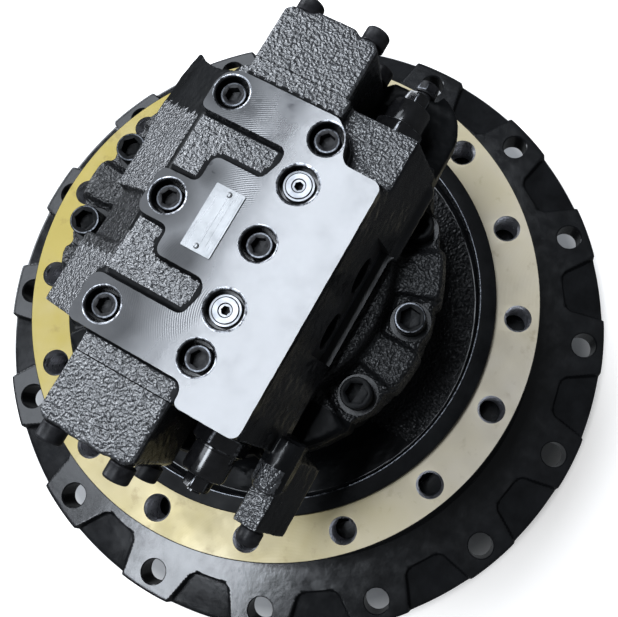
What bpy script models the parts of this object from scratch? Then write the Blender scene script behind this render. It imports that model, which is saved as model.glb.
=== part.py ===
"""Excavator final drive: axial-piston travel motor on a two-stage planetary reduction with a turning case.

Frame: +Z is the main axis, motor end up. The origin is on the main axis, at the bottom face of the gear cover.
Working units below are millimetres; MM turns them into metres.
"""
import bpy
import bmesh
import math
from mathutils import Matrix, Vector

MM = 0.001

# ---- driving dimensions (mm) -------------------------------------------------
Z_SPROCKET = 285.0          # sprocket flange face above the base
R_FLANGE = 319.0            # sprocket flange outer radius
SPROCKET_PCD = 600.0        # 16 clearance holes
SPROCKET_HOLE = 25.0
FRAME_PCD = 440.0           # 16 tapped holes in the frame flange
FRAME_HOLE = 22.4
N_HOLES = 16
Z_FRAME = Z_SPROCKET + 101.25   # frame flange face
R_FRAME = 240.0
R_SPIGOT = 200.0
R_SPIGOT_IN = 184.4
Z_SPIGOT = 394.0
Z_CASE = 466.0              # motor casing's upper face
Z_REAR = 522.0              # rear flange's upper face, under the valve block
Z_CAST = 595.5              # rough-cast top level of the valve block
Z_TOP = Z_SPROCKET + 318.0  # machined top face
R_REAR = 151.0
R_CASE_BOLT = 133.0
Z_SPOOL = 560.0
Z_RELIEF = 553.0
CAP_Y0, CAP_Y1, CAP_X = 113.3, 160.3, 36.0
SEG = 24                    # facets round the large castings

# gear train: module, teeth, planets per stage
M = 6.0
N_RING, N_SUN1, N_PL1, N_SUN2, N_PL2, N_PLANETS = 69, 15, 27, 21, 24, 3
ADD, DED = 4.8, 6.9         # stub addendum and dedendum
BACKLASH = 1.1              # total, shared by the two teeth of a pair
R_PL1 = (N_SUN1 + N_PL1) * M / 2
R_PL2 = (N_SUN2 + N_PL2) * M / 2

# ---- start clean -------------------------------------------------------------
for o in list(bpy.data.objects):
    bpy.data.objects.remove(o, do_unlink=True)
PARTS = bpy.data.collections.new("final_drive")
CUTTERS = bpy.data.collections.new("cutters")
bpy.context.scene.collection.children.link(PARTS)
bpy.context.scene.collection.children.link(CUTTERS)


def material(name, rgb, rough, metal):
    m = bpy.data.materials.new(name)
    m.use_nodes = True
    b = m.node_tree.nodes["Principled BSDF"]
    b.inputs["Base Color"].default_value = (*rgb, 1.0)
    b.inputs["Roughness"].default_value = rough
    b.inputs["Metallic"].default_value = metal
    return m


BLACK = material("black_paint", (0.015, 0.016, 0.018), 0.32, 0.0)
FACE = material("painted_face", (0.03, 0.033, 0.038), 0.25, 0.0)
GOLD = material("flange_rust_film", (0.55, 0.47, 0.33), 0.45, 0.6)
BOLT = material("black_oxide", (0.03, 0.03, 0.032), 0.35, 0.6)
SILVER = material("plated_steel", (0.75, 0.75, 0.76), 0.25, 1.0)
STEEL = material("ground_steel", (0.5, 0.5, 0.52), 0.3, 1.0)
BRONZE = material("bronze", (0.55, 0.36, 0.16), 0.35, 1.0)


def place(name, mesh, mat, cutter=False, matrix=None):
    o = bpy.data.objects.new(name, mesh)
    (CUTTERS if cutter else PARTS).objects.link(o)
    if matrix is not None:
        o.matrix_world = matrix
    if cutter:
        o.hide_render = True
        o.display_type = "WIRE"
    elif mat is not None:
        mesh.materials.append(mat)
    return o


# axis frames: local +Z along world +Y or -Y or +X
ALONG = {
    "Z": Matrix.Identity(4),
    "Y": Matrix.Rotation(math.radians(-90), 4, "X"),
    "-Y": Matrix.Rotation(math.radians(90), 4, "X"),
    "X": Matrix.Rotation(math.radians(90), 4, "Y"),
    "-Z": Matrix.Rotation(math.radians(180), 4, "X"),
}


def at(x, y, z, along="Z", turn=0.0):
    return Matrix.Translation(Vector((x, y, z)) * MM) @ ALONG[along] @ Matrix.Rotation(turn, 4, "Z")


def turned(name, profile, mat, segs=SEG, closed=True, matrix=None, cutter=False):
    """A profile of (radius, height) points turned about local Z; it runs down the outer side first."""
    me = bpy.data.meshes.new(name)
    bm = bmesh.new()
    vs = [bm.verts.new((r * MM, 0.0, z * MM)) for r, z in profile]
    for a, b in zip(vs, vs[1:]):
        bm.edges.new((a, b))
    if closed:
        bm.edges.new((vs[-1], vs[0]))
    bm.to_mesh(me)
    bm.free()
    o = place(name, me, mat, cutter, matrix)
    s = o.modifiers.new("turn", "SCREW")
    s.axis = "Z"
    s.angle = 2 * math.pi
    s.steps = segs
    s.render_steps = segs
    s.use_merge_vertices = True
    s.merge_threshold = 0.00001
    s.use_smooth_shade = False
    return o


def prism(name, loops, z0, z1, mat, cutter=False, matrix=None):
    """A flat outline (outer loop, then holes) given a thickness from z0 to z1."""
    cu = bpy.data.curves.new(name + "_outline", "CURVE")
    cu.dimensions = "2D"
    cu.fill_mode = "BOTH"
    cu.extrude = (z1 - z0) / 2 * MM
    for loop in loops:
        sp = cu.splines.new("POLY")
        sp.points.add(len(loop) - 1)
        for p, (x, y) in zip(sp.points, loop):
            p.co = (x * MM, y * MM, 0.0, 1.0)
        sp.use_cyclic_u = True
    tmp = bpy.data.objects.new(name + "_outline", cu)
    CUTTERS.objects.link(tmp)
    bpy.context.view_layer.update()
    me = bpy.data.meshes.new_from_object(tmp.evaluated_get(bpy.context.evaluated_depsgraph_get()))
    bpy.data.objects.remove(tmp, do_unlink=True)
    me.name = name
    bm = bmesh.new()
    bm.from_mesh(me)
    bmesh.ops.remove_doubles(bm, verts=bm.verts, dist=0.000002)
    bmesh.ops.translate(bm, verts=bm.verts, vec=(0, 0, (z0 + z1) / 2 * MM))
    bmesh.ops.recalc_face_normals(bm, faces=bm.faces)
    bm.to_mesh(me)
    bm.free()
    me.materials.clear()
    return place(name, me, mat, cutter, matrix)


def box(name, lo, hi, mat=None, bevel=0.0, cutter=False):
    lo, hi = Vector(lo), Vector(hi)
    me = bpy.data.meshes.new(name)
    bm = bmesh.new()
    bmesh.ops.create_cube(bm, size=1.0)
    size = hi - lo
    bmesh.ops.scale(bm, vec=size * MM, verts=bm.verts)
    bm.to_mesh(me)
    bm.free()
    o = place(name, me, mat, cutter, Matrix.Translation((lo + hi) / 2 * MM))
    if bevel:
        b = o.modifiers.new("edge", "BEVEL")
        b.width = bevel * MM
        b.segments = 1
    return o


def rods(name, items, segs=12, solid=False):
    """Round bars in one mesh: (matrix, radius, low, high) along each matrix's local Z.
    A hole's facets touch its nominal circle from outside, a solid's from inside."""
    grow = 1.0 if solid else 1.0 / math.cos(math.pi / segs)
    me = bpy.data.meshes.new(name)
    bm = bmesh.new()
    for mtx, r, a, b in items:
        bmesh.ops.create_cone(
            bm, cap_ends=True, segments=segs, radius1=r * grow * MM, radius2=r * grow * MM,
            depth=(b - a) * MM, matrix=mtx @ Matrix.Translation((0, 0, (a + b) / 2 * MM)))
    bm.to_mesh(me)
    bm.free()
    return place(name, me, None, True)


def boolean(target, tool, op="DIFFERENCE"):
    m = target.modifiers.new(tool.name, "BOOLEAN")
    m.operation = op
    m.object = tool
    m.solver = "EXACT"
    return target


def arc(r, a0, a1, n, cx=0.0, cy=0.0):
    return [(cx + r * math.cos(math.radians(a0 + (a1 - a0) * i / n)),
             cy + r * math.sin(math.radians(a0 + (a1 - a0) * i / n))) for i in range(n + 1)]


def circle(r, n=SEG, cx=0.0, cy=0.0):
    return arc(r, 0, 360, n, cx, cy)[:-1]


# ---- gears -------------------------------------------------------------------
def involute(x):
    return math.tan(x) - x


def gear_loop(n, add, ded, backlash, phase, space=False):
    """Outline of an external gear with straight-line flanks on involute points, or of a ring's tooth spaces."""
    rp = n * M / 2
    rb = rp * math.cos(math.radians(20))
    out = []
    half = (math.pi * M / 2 + (backlash if space else -backlash)) / (2 * rp)

    def width(r):
        return half + involute(math.radians(20)) - involute(math.acos(min(1.0, rb / max(r, rb))))

    r_in, r_out = (rp - add, rp + ded) if space else (rp - ded, rp + add)
    for k in range(n):
        c = phase + 2 * math.pi * k / n
        for r, s in ((r_in, -1), (r_out, -1), (r_out, 1), (r_in, 1)):
            a = c + s * width(r)
            out.append((r * math.cos(a), r * math.sin(a)))
    return out


def frac(x):
    return x - math.floor(x)


TURN = 2 * math.pi
ANG1 = [math.radians(90) + TURN * k / N_PLANETS for k in range(N_PLANETS)]
ANG2 = [math.radians(90) + TURN * k / N_PLANETS for k in range(N_PLANETS)]
PH_SUN1 = 0.0


def planet_from_sun(n_sun, ph_sun, n_pl, theta):
    u = frac(n_sun * (theta - ph_sun) / TURN)
    return theta + math.pi - TURN / n_pl * (0.5 - u)


PH_PL1 = [planet_from_sun(N_SUN1, PH_SUN1, N_PL1, t) for t in ANG1]
PH_RING = ANG1[0] - TURN * frac(N_PL1 * (ANG1[0] - PH_PL1[0]) / TURN) / N_RING
PH_PL2 = [t - TURN / N_PL2 * frac(N_RING * (t - PH_RING) / TURN) for t in ANG2]
PH_SUN2 = ANG2[0] - TURN / N_SUN2 * (0.5 - frac(N_PL2 * (ANG2[0] + math.pi - PH_PL2[0]) / TURN))

# ---- turning case ------------------------------------------------------------
housing = turned("sprocket_housing", [
    (236, 345), (236, 300), (250, 296.5), (250, 246), (248, 240), (246, 190), (252, 182), (252, 152), (216, 152), (216, 179),
    (205.6, 181), (205.6, 222), (198, 222), (198, 262), (205.6, 262), (205.6, 304), (214, 306), (214, 345)], BLACK)
sprocket_ring = turned("sprocket_ring", [
    (R_FLANGE, Z_SPROCKET), (R_FLANGE, 257), (262, 257), (250.3, 246), (250.3, Z_SPROCKET)], BLACK)
hole_angles = [TURN * k / N_HOLES for k in range(N_HOLES)]
boolean(sprocket_ring, rods("sprocket_holes", [
    (at(SPROCKET_PCD / 2 * math.cos(a), SPROCKET_PCD / 2 * math.sin(a), 0, turn=a + 0.3), SPROCKET_HOLE / 2, 250, 292)
    for a in hole_angles], 8))


def fans(name, r0, r1, half_in, half_out, z0, z1, centres, corner=0.0):
    """Wedge-shaped cutters between the bolt lugs, in one mesh."""
    me = bpy.data.meshes.new(name)
    bm = bmesh.new()
    for c in centres:
        b = bmesh.ops.create_cube(bm, size=1.0)["verts"]
        for v in b:
            outer, side, up = v.co.x > 0, v.co.y > 0, v.co.z > 0
            h = half_out if outer else half_in
            a = math.radians(c + (h if side else -h))
            r = r1 if outer else r0
            v.co = (r * math.cos(a) * MM, r * math.sin(a) * MM, (z1 if up else z0) * MM)
    bm.to_mesh(me)
    bm.free()
    return place(name, me, None, True)


mid = [22.5 * k + 11.25 for k in range(N_HOLES)]
boolean(sprocket_ring, fans("lug_pockets",279.5, 345, 4.1, 6.4, Z_SPROCKET - 8, Z_SPROCKET + 6, mid))

boolean_ring = gear_loop(N_RING, ADD, DED + 0.3, BACKLASH / 2, PH_RING, space=True)
ring_gear = prism("ring_gear", [circle(252, SEG), boolean_ring], 24.3, 151.7, STEEL)

cover = turned("gear_cover", [
    (0, 20), (203, 20), (206, 24), (252, 24), (252, 13), (212, 13), (206, 5.5), (162, 4), (154, 0), (0, 0)], BLACK, closed=False)
plug_at = [(0.0, 186.0), (0.0, -186.0)]
boolean(cover, rods("cover_plug_seats", [(at(x, y, 0), 17.5, -3, 9.5) for x, y in plug_at], 12))
boolean(cover, rods("cover_plug_bores", [(at(x, y, 0), 11.4, 8, 23) for x, y in plug_at], 12))
for label, (x, y) in zip(("level_plug", "drain_plug"), plug_at):
    p = turned(label, [(0, 9.2), (16.5, 9.2), (16.5, 1.5), (15, 0.6), (0, 0.6)], SILVER, 12, False, at(x, y, 0))
    boolean(p, rods(label + "_shank", [(at(x, y, 0), 11, 9, 22)], 12, True), "UNION")
    boolean(p, rods(label + "_socket", [(at(x, y, 0), 6.9, -1, 6)], 6))


def race(name, r_out, r_in, z0, z1, segs=SEG):
    return turned(name, [(r_out, z1), (r_out, z0), (r_in, z0), (r_in, z1)], STEEL, segs)


race("main_bearing_outer_lower", 205.2, 189, 183, 221.7)
race("main_bearing_outer_upper", 205.2, 189, 262.3, 302)
turned("seal_ring_housing", [(213.5, 324), (213.5, 308), (188, 312), (188, 327.4), (206, 327.4)], STEEL)

# ---- fixed hub and motor casing ----------------------------------------------
neck = turned("motor_casing", [
    (115, Z_CASE), (148, Z_CASE), (148, 448), (138, 438), (140, 392), (158, 372), (158, 371.3), (115, 371.3)], BLACK)
hub = turned("hub_casing", [
    (115, 371), (R_SPIGOT_IN, 371), (R_SPIGOT_IN, Z_SPIGOT), (R_SPIGOT, Z_SPIGOT), (R_SPIGOT, Z_FRAME), (R_FRAME, Z_FRAME), (R_FRAME, 350), (172, 350), (172, 303.5),
    (155, 303.5), (155, 184), (100.6, 184), (100.6, 206), (62, 206), (62, 306), (36, 306), (36, 312), (52.6, 312), (52.6, 334.3), (44, 334.3),
    (44, 345), (115, 345)], BLACK)
boolean(hub, rods("frame_holes", [
    (at(FRAME_PCD / 2 * math.cos(a), FRAME_PCD / 2 * math.sin(a), 0, turn=a + 0.3), FRAME_HOLE / 2, 345, 392)
    for a in hole_angles], 8))

race("main_bearing_inner_lower", 173, 155.3, 185, 221.7)
race("main_bearing_inner_upper", 173, 155.3, 262.3, 302.6)
turned("seal_ring_hub", [(206, 327.8), (188, 327.8), (172.4, 330), (172.4, 346), (182, 346)], STEEL)

carrier_2 = turned("carrier_2", [(100, 205.6), (100, 183.6), (184, 183.6), (188, 180), (188, 152), (184, 150), (48, 150), (48, 205.6)], STEEL)
boolean(carrier_2, rods("carrier_2_pins", [
    (at(R_PL2 * math.cos(a), R_PL2 * math.sin(a), 0), 22, 99, 152) for a in ANG2], 16, True), "UNION")

carrier_1 = turned("carrier_1", [(46, 110), (46, 92), (158, 92), (160, 90), (160, 80.5), (30, 80.5), (30, 110)], STEEL, 24)
boolean(carrier_1, rods("carrier_1_pins", [
    (at(R_PL1 * math.cos(a), R_PL1 * math.sin(a), 0), 20, 37, 82) for a in ANG1], 16, True), "UNION")


def gear(name, n, bore, bore_n, z0, z1, phase, cx=0.0, cy=0.0):
    return prism(name, [gear_loop(n, ADD, DED, BACKLASH / 2, phase), circle(bore, bore_n)], z0, z1, STEEL,
                 matrix=Matrix.Translation((cx * MM, cy * MM, 0)))


gear("sun_gear_1", N_SUN1, 20.4, 16, 36, 79, PH_SUN1)
gear("sun_gear_2", N_SUN2, 46.4, 24, 92.4, 148.5, PH_SUN2)
for k in range(N_PLANETS):
    gear("planet_1_" + "abc"[k], N_PL1, 20.8, 16, 38, 79.8, PH_PL1[k], R_PL1 * math.cos(ANG1[k]), R_PL1 * math.sin(ANG1[k]))
    gear("planet_2_" + "abc"[k], N_PL2, 22.9, 16, 100, 149.4, PH_PL2[k], R_PL2 * math.cos(ANG2[k]), R_PL2 * math.sin(ANG2[k]))

# ---- travel motor ------------------------------------------------------------
turned("motor_shaft", [(0, 490), (25, 490), (25, 466), (27.7, 466), (27.7, 338), (30, 335), (30, 308),
                       (24, 300), (24, 83), (20, 83), (20, 32), (0, 32)], STEEL, 16, False)
turned("shaft_bearing_front", [(52, 334), (52, 312.3), (31, 312.3), (31, 334)], STEEL, 24)
turned("shaft_bearing_rear", [(40, 489), (40, 468.5), (26, 468.5), (26, 489)], STEEL, 24)
turned("swash_plate", [(88, 360), (88, 345.3), (38, 345.3), (38, 365.6), (82, 365.6)], STEEL, 24)
block = turned("cylinder_block", [(84, 458), (84, 396), (80, 392), (28.6, 392), (28.6, 458)], STEEL, 18)
N_PISTONS, R_PISTON_PCD = 9, 58.0
piston_angles = [TURN * k / N_PISTONS for k in range(N_PISTONS)]
boolean(block, rods("cylinder_bores", [
    (at(R_PISTON_PCD * math.cos(a), R_PISTON_PCD * math.sin(a), 0), 12.5, 385, 446) for a in piston_angles], 8))
pistons = turned("piston_set", [(76, 377), (76, 366), (40, 366), (40, 377)], BRONZE, 18)
boolean(pistons, rods("pistons", [
    (at(R_PISTON_PCD * math.cos(a), R_PISTON_PCD * math.sin(a), 0), 11.5, 372, 436) for a in piston_angles], 8, True), "UNION")
valve_plate = turned("valve_plate", [(79, 466), (80, 465), (80, 458.3), (32, 458.3), (32, 466)], BRONZE, 24)
for side in (0, 180):
    kid = prism("kidney_%d" % side, [arc(64, side - 70, side + 70, 5) + arc(52, side + 70, side - 70, 5)], 450, 470, None, True)
    boolean(valve_plate, kid)
turned("brake_disc", [(106, 423), (106, 418), (86, 418), (86, 423)], STEEL, 24)
turned("brake_piston", [(114, 455), (114, 440), (108, 438), (108, 424), (92, 424), (92, 455)], STEEL, 24)

# ---- rear flange -------------------------------------------------------------
CASE_BOLTS = [164.8, 194.3, 7.9]
HIDDEN_BOLTS = [39.3, 70.7, 102.0, 133.4, 222.0, 247.0, 271.0, 295.0, 338.4]
all_bolts = sorted(a % 360 for a in CASE_BOLTS + HIDDEN_BOLTS)
outline = []
for i, a in enumerate(all_bolts):
    nxt = all_bolts[(i + 1) % len(all_bolts)]
    gap = (nxt - a) % 360
    lobe = 7.2
    for da, r in ((-lobe + 1.0, 145.5), (lobe - 1.0, 145.5)):
        outline.append((r * math.cos(math.radians(a + da)), r * math.sin(math.radians(a + da))))
    for t in (0.0, 1.0):
        b = a + lobe + 1.6 + (gap - 2 * lobe - 3.2) * t
        outline.append((R_REAR * math.cos(math.radians(b)), R_REAR * math.sin(math.radians(b))))
rear = prism("rear_flange", [outline], Z_CASE + 0.3, 499, BLACK)
boolean(rear, turned("rear_neck", [(0, Z_REAR), (112, Z_REAR), (116, 498), (0, 498)], None, 24, False, cutter=True), "UNION")
pads = []
for i, a in enumerate(all_bolts):
    nxt = all_bolts[(i + 1) % len(all_bolts)]
    gap = (nxt - a) % 360
    if gap > 22:
        pads.append(a + gap / 2)
boolean(rear, fans("cast_pads", 108, 148, 5.2, 5.0, 498, 505.5, pads[1::2]), "UNION")
boolean(rear, rods("rear_bearing_pocket", [(at(0, 0, 0), 40.4, 460, 491)], 24))
boolean(rear, rods("case_bolt_holes", [
    (at(R_CASE_BOLT * math.cos(math.radians(a)), R_CASE_BOLT * math.sin(math.radians(a)), 0), 8.8, 460, 510)
    for a in CASE_BOLTS], 8))
boolean(neck, rods("case_bolt_threads", [
    (at(R_CASE_BOLT * math.cos(math.radians(a)), R_CASE_BOLT * math.sin(math.radians(a)), 0), 8.4, 438, 470)
    for a in CASE_BOLTS], 8))


def socket_bolt(name, matrix, d, head_d, head_h, shank, socket, mat=BOLT, segs=8):
    """Socket-head bolt: local Z=0 is the head's seat, the head goes up, the shank down."""
    o = turned(name, [(0, head_h), (head_d / 2, head_h), (head_d / 2, 0),
                      (d / 2, 0), (d / 2, -shank), (0, -shank)], mat, segs, False, matrix)
    boolean(o, rods(name + "_socket", [(matrix, socket / 2, head_h * 0.4, head_h + 2)], 6))
    return o


for i, a in enumerate(CASE_BOLTS):
    x, y = R_CASE_BOLT * math.cos(math.radians(a)), R_CASE_BOLT * math.sin(math.radians(a))
    socket_bolt("case_bolt_%d" % (i + 1), at(x, y, 499.3), 16, 24, 15.7, 58, 14)

# ---- valve block -------------------------------------------------------------
SIDE = [(-98, Z_REAR + 0.3), (-100.2, 545), (-100.2, 556.4), (-47, Z_CAST), (86.5, Z_CAST), (88.5, 585), (101, 535), (99, 526), (95, Z_REAR + 0.3)]
vb = prism("valve_block", [[(x, -z) for x, z in SIDE]], -112, 115, BLACK, matrix=ALONG["Y"])
PLATE = ([(85.5, -112), (85.5, 70.5), (58, 71.2), (53.4, 75.5), (50.5, 84.5), (47, 91), (38.6, 97.6), (-36, 97.6), (-44, 92), (-47, 85), (-47, 66.5),
          (-43.5, 64.5), (16.4, 64.5), (20.2, 61), (20.4, 53.3), (15.6, 40), (12, 38.3), (-20.6, 38.3), (-20.6, 17), (-46, 16.5), (-48, 11), (-48, -11),
          (-45, -15.8), (-22, -15.8), (-21.5, -31), (-19, -34.8), (14, -35), (19.4, -40), (20, -46), (16.6, -60), (12.5, -62.8), (-46, -62.8), (-50, -67), (-50, -96.6),
          (33.5, -96.8), (38.5, -99), (40.4, -104), (40.4, -112)])
boolean(vb, prism("machined_plate", [PLATE], Z_CAST - 6, Z_TOP, None, True), "UNION")
boolean(vb, prism("upper_lobe", [[(44, 108), (101, 108), (100.4, 142.5), (98.3, 153.5), (92.6, 165), (83.8, 173.6), (76, 177), (71.5, 172), (50, 172), (44, 166)]], Z_REAR + 0.6, 534, None, True), "UNION")
boolean(vb, box("upper_lobe_drop", (50, 146, 515), (71.5, 171.9, 524), None, 0, True), "UNION")
# the lower lobe is a narrow arm that drops beside the rear flange, with a round boss and a web above it
boolean(vb, prism("lower_lobe", [[(93, -165.5), (119, -165.5), (119, -112), (100, -98), (84, -98), (84, -112), (93, -118)]], Z_REAR + 0.9, 533.6, None, True), "UNION")
boolean(vb, box("lower_lobe_drop", (97, -167.5, 490), (125, -122, 524), None, 0, True), "UNION")
boolean(vb, box("lower_lobe_web", (92, -134, 528), (116, -98, 545), None, 0, True), "UNION")
boolean(vb, rods("lower_lobe_boss", [(at(105, -100, 542, "-Y"), 10.5, 0, 38)], 12, True), "UNION")
# upper right corner stands at the lower cast level; lower left corner is cut back beside the end cap
boolean(vb, prism("corner_upper", [[(59, 74.5), (95, 74.5), (95, 120), (38.8, 120), (38.8, 100), (48, 94), (55, 86)]], 585, 612, None, True))
boolean(vb, prism("flank_outline", [[(-94, -125), (-94, 36), (-96.5, 44), (-99.5, 52), (-100.1, 75), (-99.5, 92), (-97, 105), (-93, 113), (-83.6, 107.2), (-70, 102),
                                     (-57.6, 99.7), (-37, 98.2), (-37, 140), (-125, 140), (-125, -125)]], 500, 640, None, True))
boolean(vb, box("corner_lower_left", (-120, -120, 515), (-37.4, -97.3, 612), None, 0, True))
boolean(vb, box("corner_lower_right", (37.4, -120, 534.2), (120, -112.6, 612), None, 0, True))
boolean(vb, box("port_face_upper", (92.5, -43, 535), (130, 43, 612), None, 0, True))
boolean(vb, box("port_face_lower", (94.5, -43, 515), (130, 43, 535.5), None, 0, True))
boolean(vb, rods("spool_bore", [(at(0, 0, Z_SPOOL, "Y"), 17.3, -120, 122)], 16))
PORT_Y, PORT_Z = 22.0, 552.0
boolean(vb, rods("port_bores", [(at(0, s * PORT_Y, PORT_Z, "X"), 13.0, 60, 100) for s in (-1, 1)], 12))
boolean(vb, rods("relief_bores", [(at(65, 84, Z_RELIEF, "Y"), 12.4, 0, 35), (at(65, -84, Z_RELIEF, "-Y"), 12.4, 0, 35)], 10))
COVER_BOLTS = [(-33.5, 81.9), (38.5, 81.9), (-34.0, 0.8), (35.0, 0.6), (-33.1, -79.8), (38.1, -80.3)]
boolean(vb, rods("bolt_seats", [(at(x, y, 0), 11.5, 587.4, 606) for x, y in COVER_BOLTS], 12))
boolean(vb, rods("bolt_bores", [(at(x, y, 0), 6.7, 546, 588.2) for x, y in COVER_BOLTS], 8))
SOCKET_PLUGS = [(37.8, 46.5), (37.8, -46.0)]
boolean(vb, rods("plug_seats", [(at(x, y, 0), 13.2, 596, 606) for x, y in SOCKET_PLUGS], 16))
boolean(vb, rods("plug_bores", [(at(x, y, 0), 10.6, 576, 597) for x, y in SOCKET_PLUGS], 10))
for i, (x, y) in enumerate(COVER_BOLTS):
    socket_bolt("cover_bolt_%d" % (i + 1), at(x, y, 587.8), 12, 18, 12, 38, 10)
for i, (x, y) in enumerate(SOCKET_PLUGS):
    p = turned("socket_plug_%d" % (i + 1), [(0, 600.6), (9, 600.6), (10, 599.6), (10, 578), (0, 578)], SILVER, 12, False, at(x, y, 0))
    boolean(p, rods("socket_plug_hex_%d" % (i + 1), [(at(x, y, 0), 4.8, 593, 605)], 6))
box("nameplate", (-9.2, -23.0, Z_TOP + 0.3), (12.6, 23.4, Z_TOP + 1.3), SILVER)

# spool, its end caps and centring springs
turned("spool", [(0, 99), (15.5, 99), (16.8, 97.5), (16.8, 62), (11, 60), (11, 40), (16.8, 38), (16.8, 12), (11, 10), (11, -10),
                 (16.8, -12), (16.8, -38), (11, -40), (11, -60), (16.8, -62), (16.8, -97.5), (15.5, -99), (0, -99)], STEEL, 12, False, at(0, 0, Z_SPOOL, "Y"))
for tag, s in (("upper", 1), ("lower", -1)):
    y0, y1 = sorted((s * (CAP_Y0 + (2.0 if s > 0 else -0.6)), s * CAP_Y1))
    along = "Y" if s > 0 else "-Y"
    cap = box("end_cap_" + tag, (-CAP_X, y0, 528), (CAP_X, y1, Z_CAST), BLACK, 2.0)
    boolean(cap, rods("cap_bore_" + tag, [(at(0, 0, Z_SPOOL, along), 15.0, 100, 146)], 16))
    bolts = [(-26, 584), (26, 584), (-26, 538), (26, 538)]
    boolean(cap, rods("cap_holes_" + tag, [(at(x, 0, z, along), 6.7, 100, 170) for x, z in bolts[:2]], 8))
    boolean(vb, rods("cap_threads_" + tag, [(at(x, 0, z, along), 6.5, 90, 130) for x, z in bolts[:2]], 8))
    for i, (x, z) in enumerate(bolts[:2]):
        socket_bolt("cap_bolt_%s_%d" % (tag, i + 1), at(x, s * (CAP_Y1 + 0.3), z, along), 12, 18, 11.4, 60, 10)
    # centring spring: a coil between spool end and cap bottom
    cu = bpy.data.curves.new("spool_spring_" + tag, "CURVE")
    cu.dimensions = "3D"
    cu.bevel_depth = 1.8 * MM
    cu.bevel_resolution = 0
    cu.use_fill_caps = True
    turns, per = 4, 8
    sp = cu.splines.new("POLY")
    n = turns * per + 1
    sp.points.add(n - 1)
    for i in range(n):
        a = TURN * i / per
        t = i / (n - 1)
        p = Vector((11.5 * math.cos(a), 11.5 * math.sin(a), 101.3 + (143.8 - 101.3) * t)) * MM
        sp.points[i].co = (*p, 1.0)
    so = bpy.data.objects.new("spool_spring_" + tag, cu)
    PARTS.objects.link(so)
    so.matrix_world = at(0, 0, Z_SPOOL, along)
    cu.materials.append(STEEL)

# relief valve cartridges
for tag, s in (("upper", 1), ("lower", -1)):
    along = "Y" if s > 0 else "-Y"
    y0 = 115.3 if s > 0 else 112.9
    rv = turned("relief_valve_" + tag, [
        (0, 159), (9.5, 159), (9.5, 149.5), (14.5, 149.5), (15.5, 146.5), (15.5, y0 + 9), (17.6, y0 + 7.5), (17.6, y0),
        (12, y0), (12, 88), (0, 88)], BOLT, 12, False, at(65, 0, Z_RELIEF, along))
    boolean(rv, rods("relief_hex_" + tag, [(at(65, 0, Z_RELIEF, along), 17.5, y0 + 0.5, y0 + 11)], 6, True), "UNION")

# hex plugs on the two lobes
LOBE_PLUGS = [("lobe_plug_upper", 60.7, 172.3, 525.0, "Y", 8.0, 9.5), ("lobe_plug_lower", 106.0, 168.3, 512.0, "-Y", 9.0, 12.5)]
for name, x, y0, z, along, r, high in LOBE_PLUGS:
    turned(name, [(0, high), (r * 0.8, high), (r, high - 2.0), (r, 0), (0, 0)], BOLT, 12, False, at(x, y0 if along == "Y" else -y0, z, along))
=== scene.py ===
import math

import bmesh
import bpy
import numpy as np
from mathutils import Matrix, Vector


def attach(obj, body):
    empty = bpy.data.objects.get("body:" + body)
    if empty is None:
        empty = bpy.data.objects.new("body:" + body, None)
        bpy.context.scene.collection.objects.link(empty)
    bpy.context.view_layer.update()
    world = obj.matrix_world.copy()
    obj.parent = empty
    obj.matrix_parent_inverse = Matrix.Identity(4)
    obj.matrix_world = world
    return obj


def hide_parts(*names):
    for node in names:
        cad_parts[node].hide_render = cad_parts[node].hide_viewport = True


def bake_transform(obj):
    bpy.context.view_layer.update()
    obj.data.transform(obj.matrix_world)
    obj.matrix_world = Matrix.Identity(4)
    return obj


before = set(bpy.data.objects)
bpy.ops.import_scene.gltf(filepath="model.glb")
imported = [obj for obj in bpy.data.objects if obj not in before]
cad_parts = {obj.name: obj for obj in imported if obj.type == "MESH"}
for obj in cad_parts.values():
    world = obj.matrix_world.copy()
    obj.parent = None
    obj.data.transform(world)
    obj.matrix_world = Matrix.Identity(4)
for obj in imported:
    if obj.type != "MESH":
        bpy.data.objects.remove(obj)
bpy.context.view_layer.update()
MM = 0.001
TURN = 2 * math.pi
scene = bpy.context.scene

# main levels and radii, in millimetres
Z_FLANGE, Z_FRAME, Z_SPIGOT, Z_CASE, Z_SPOT = 285.0, 386.25, 394.0, 466.0, 499.3
Z_CAST, Z_TOP = 595.5, 603.0
N_HOLES = 16


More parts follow.
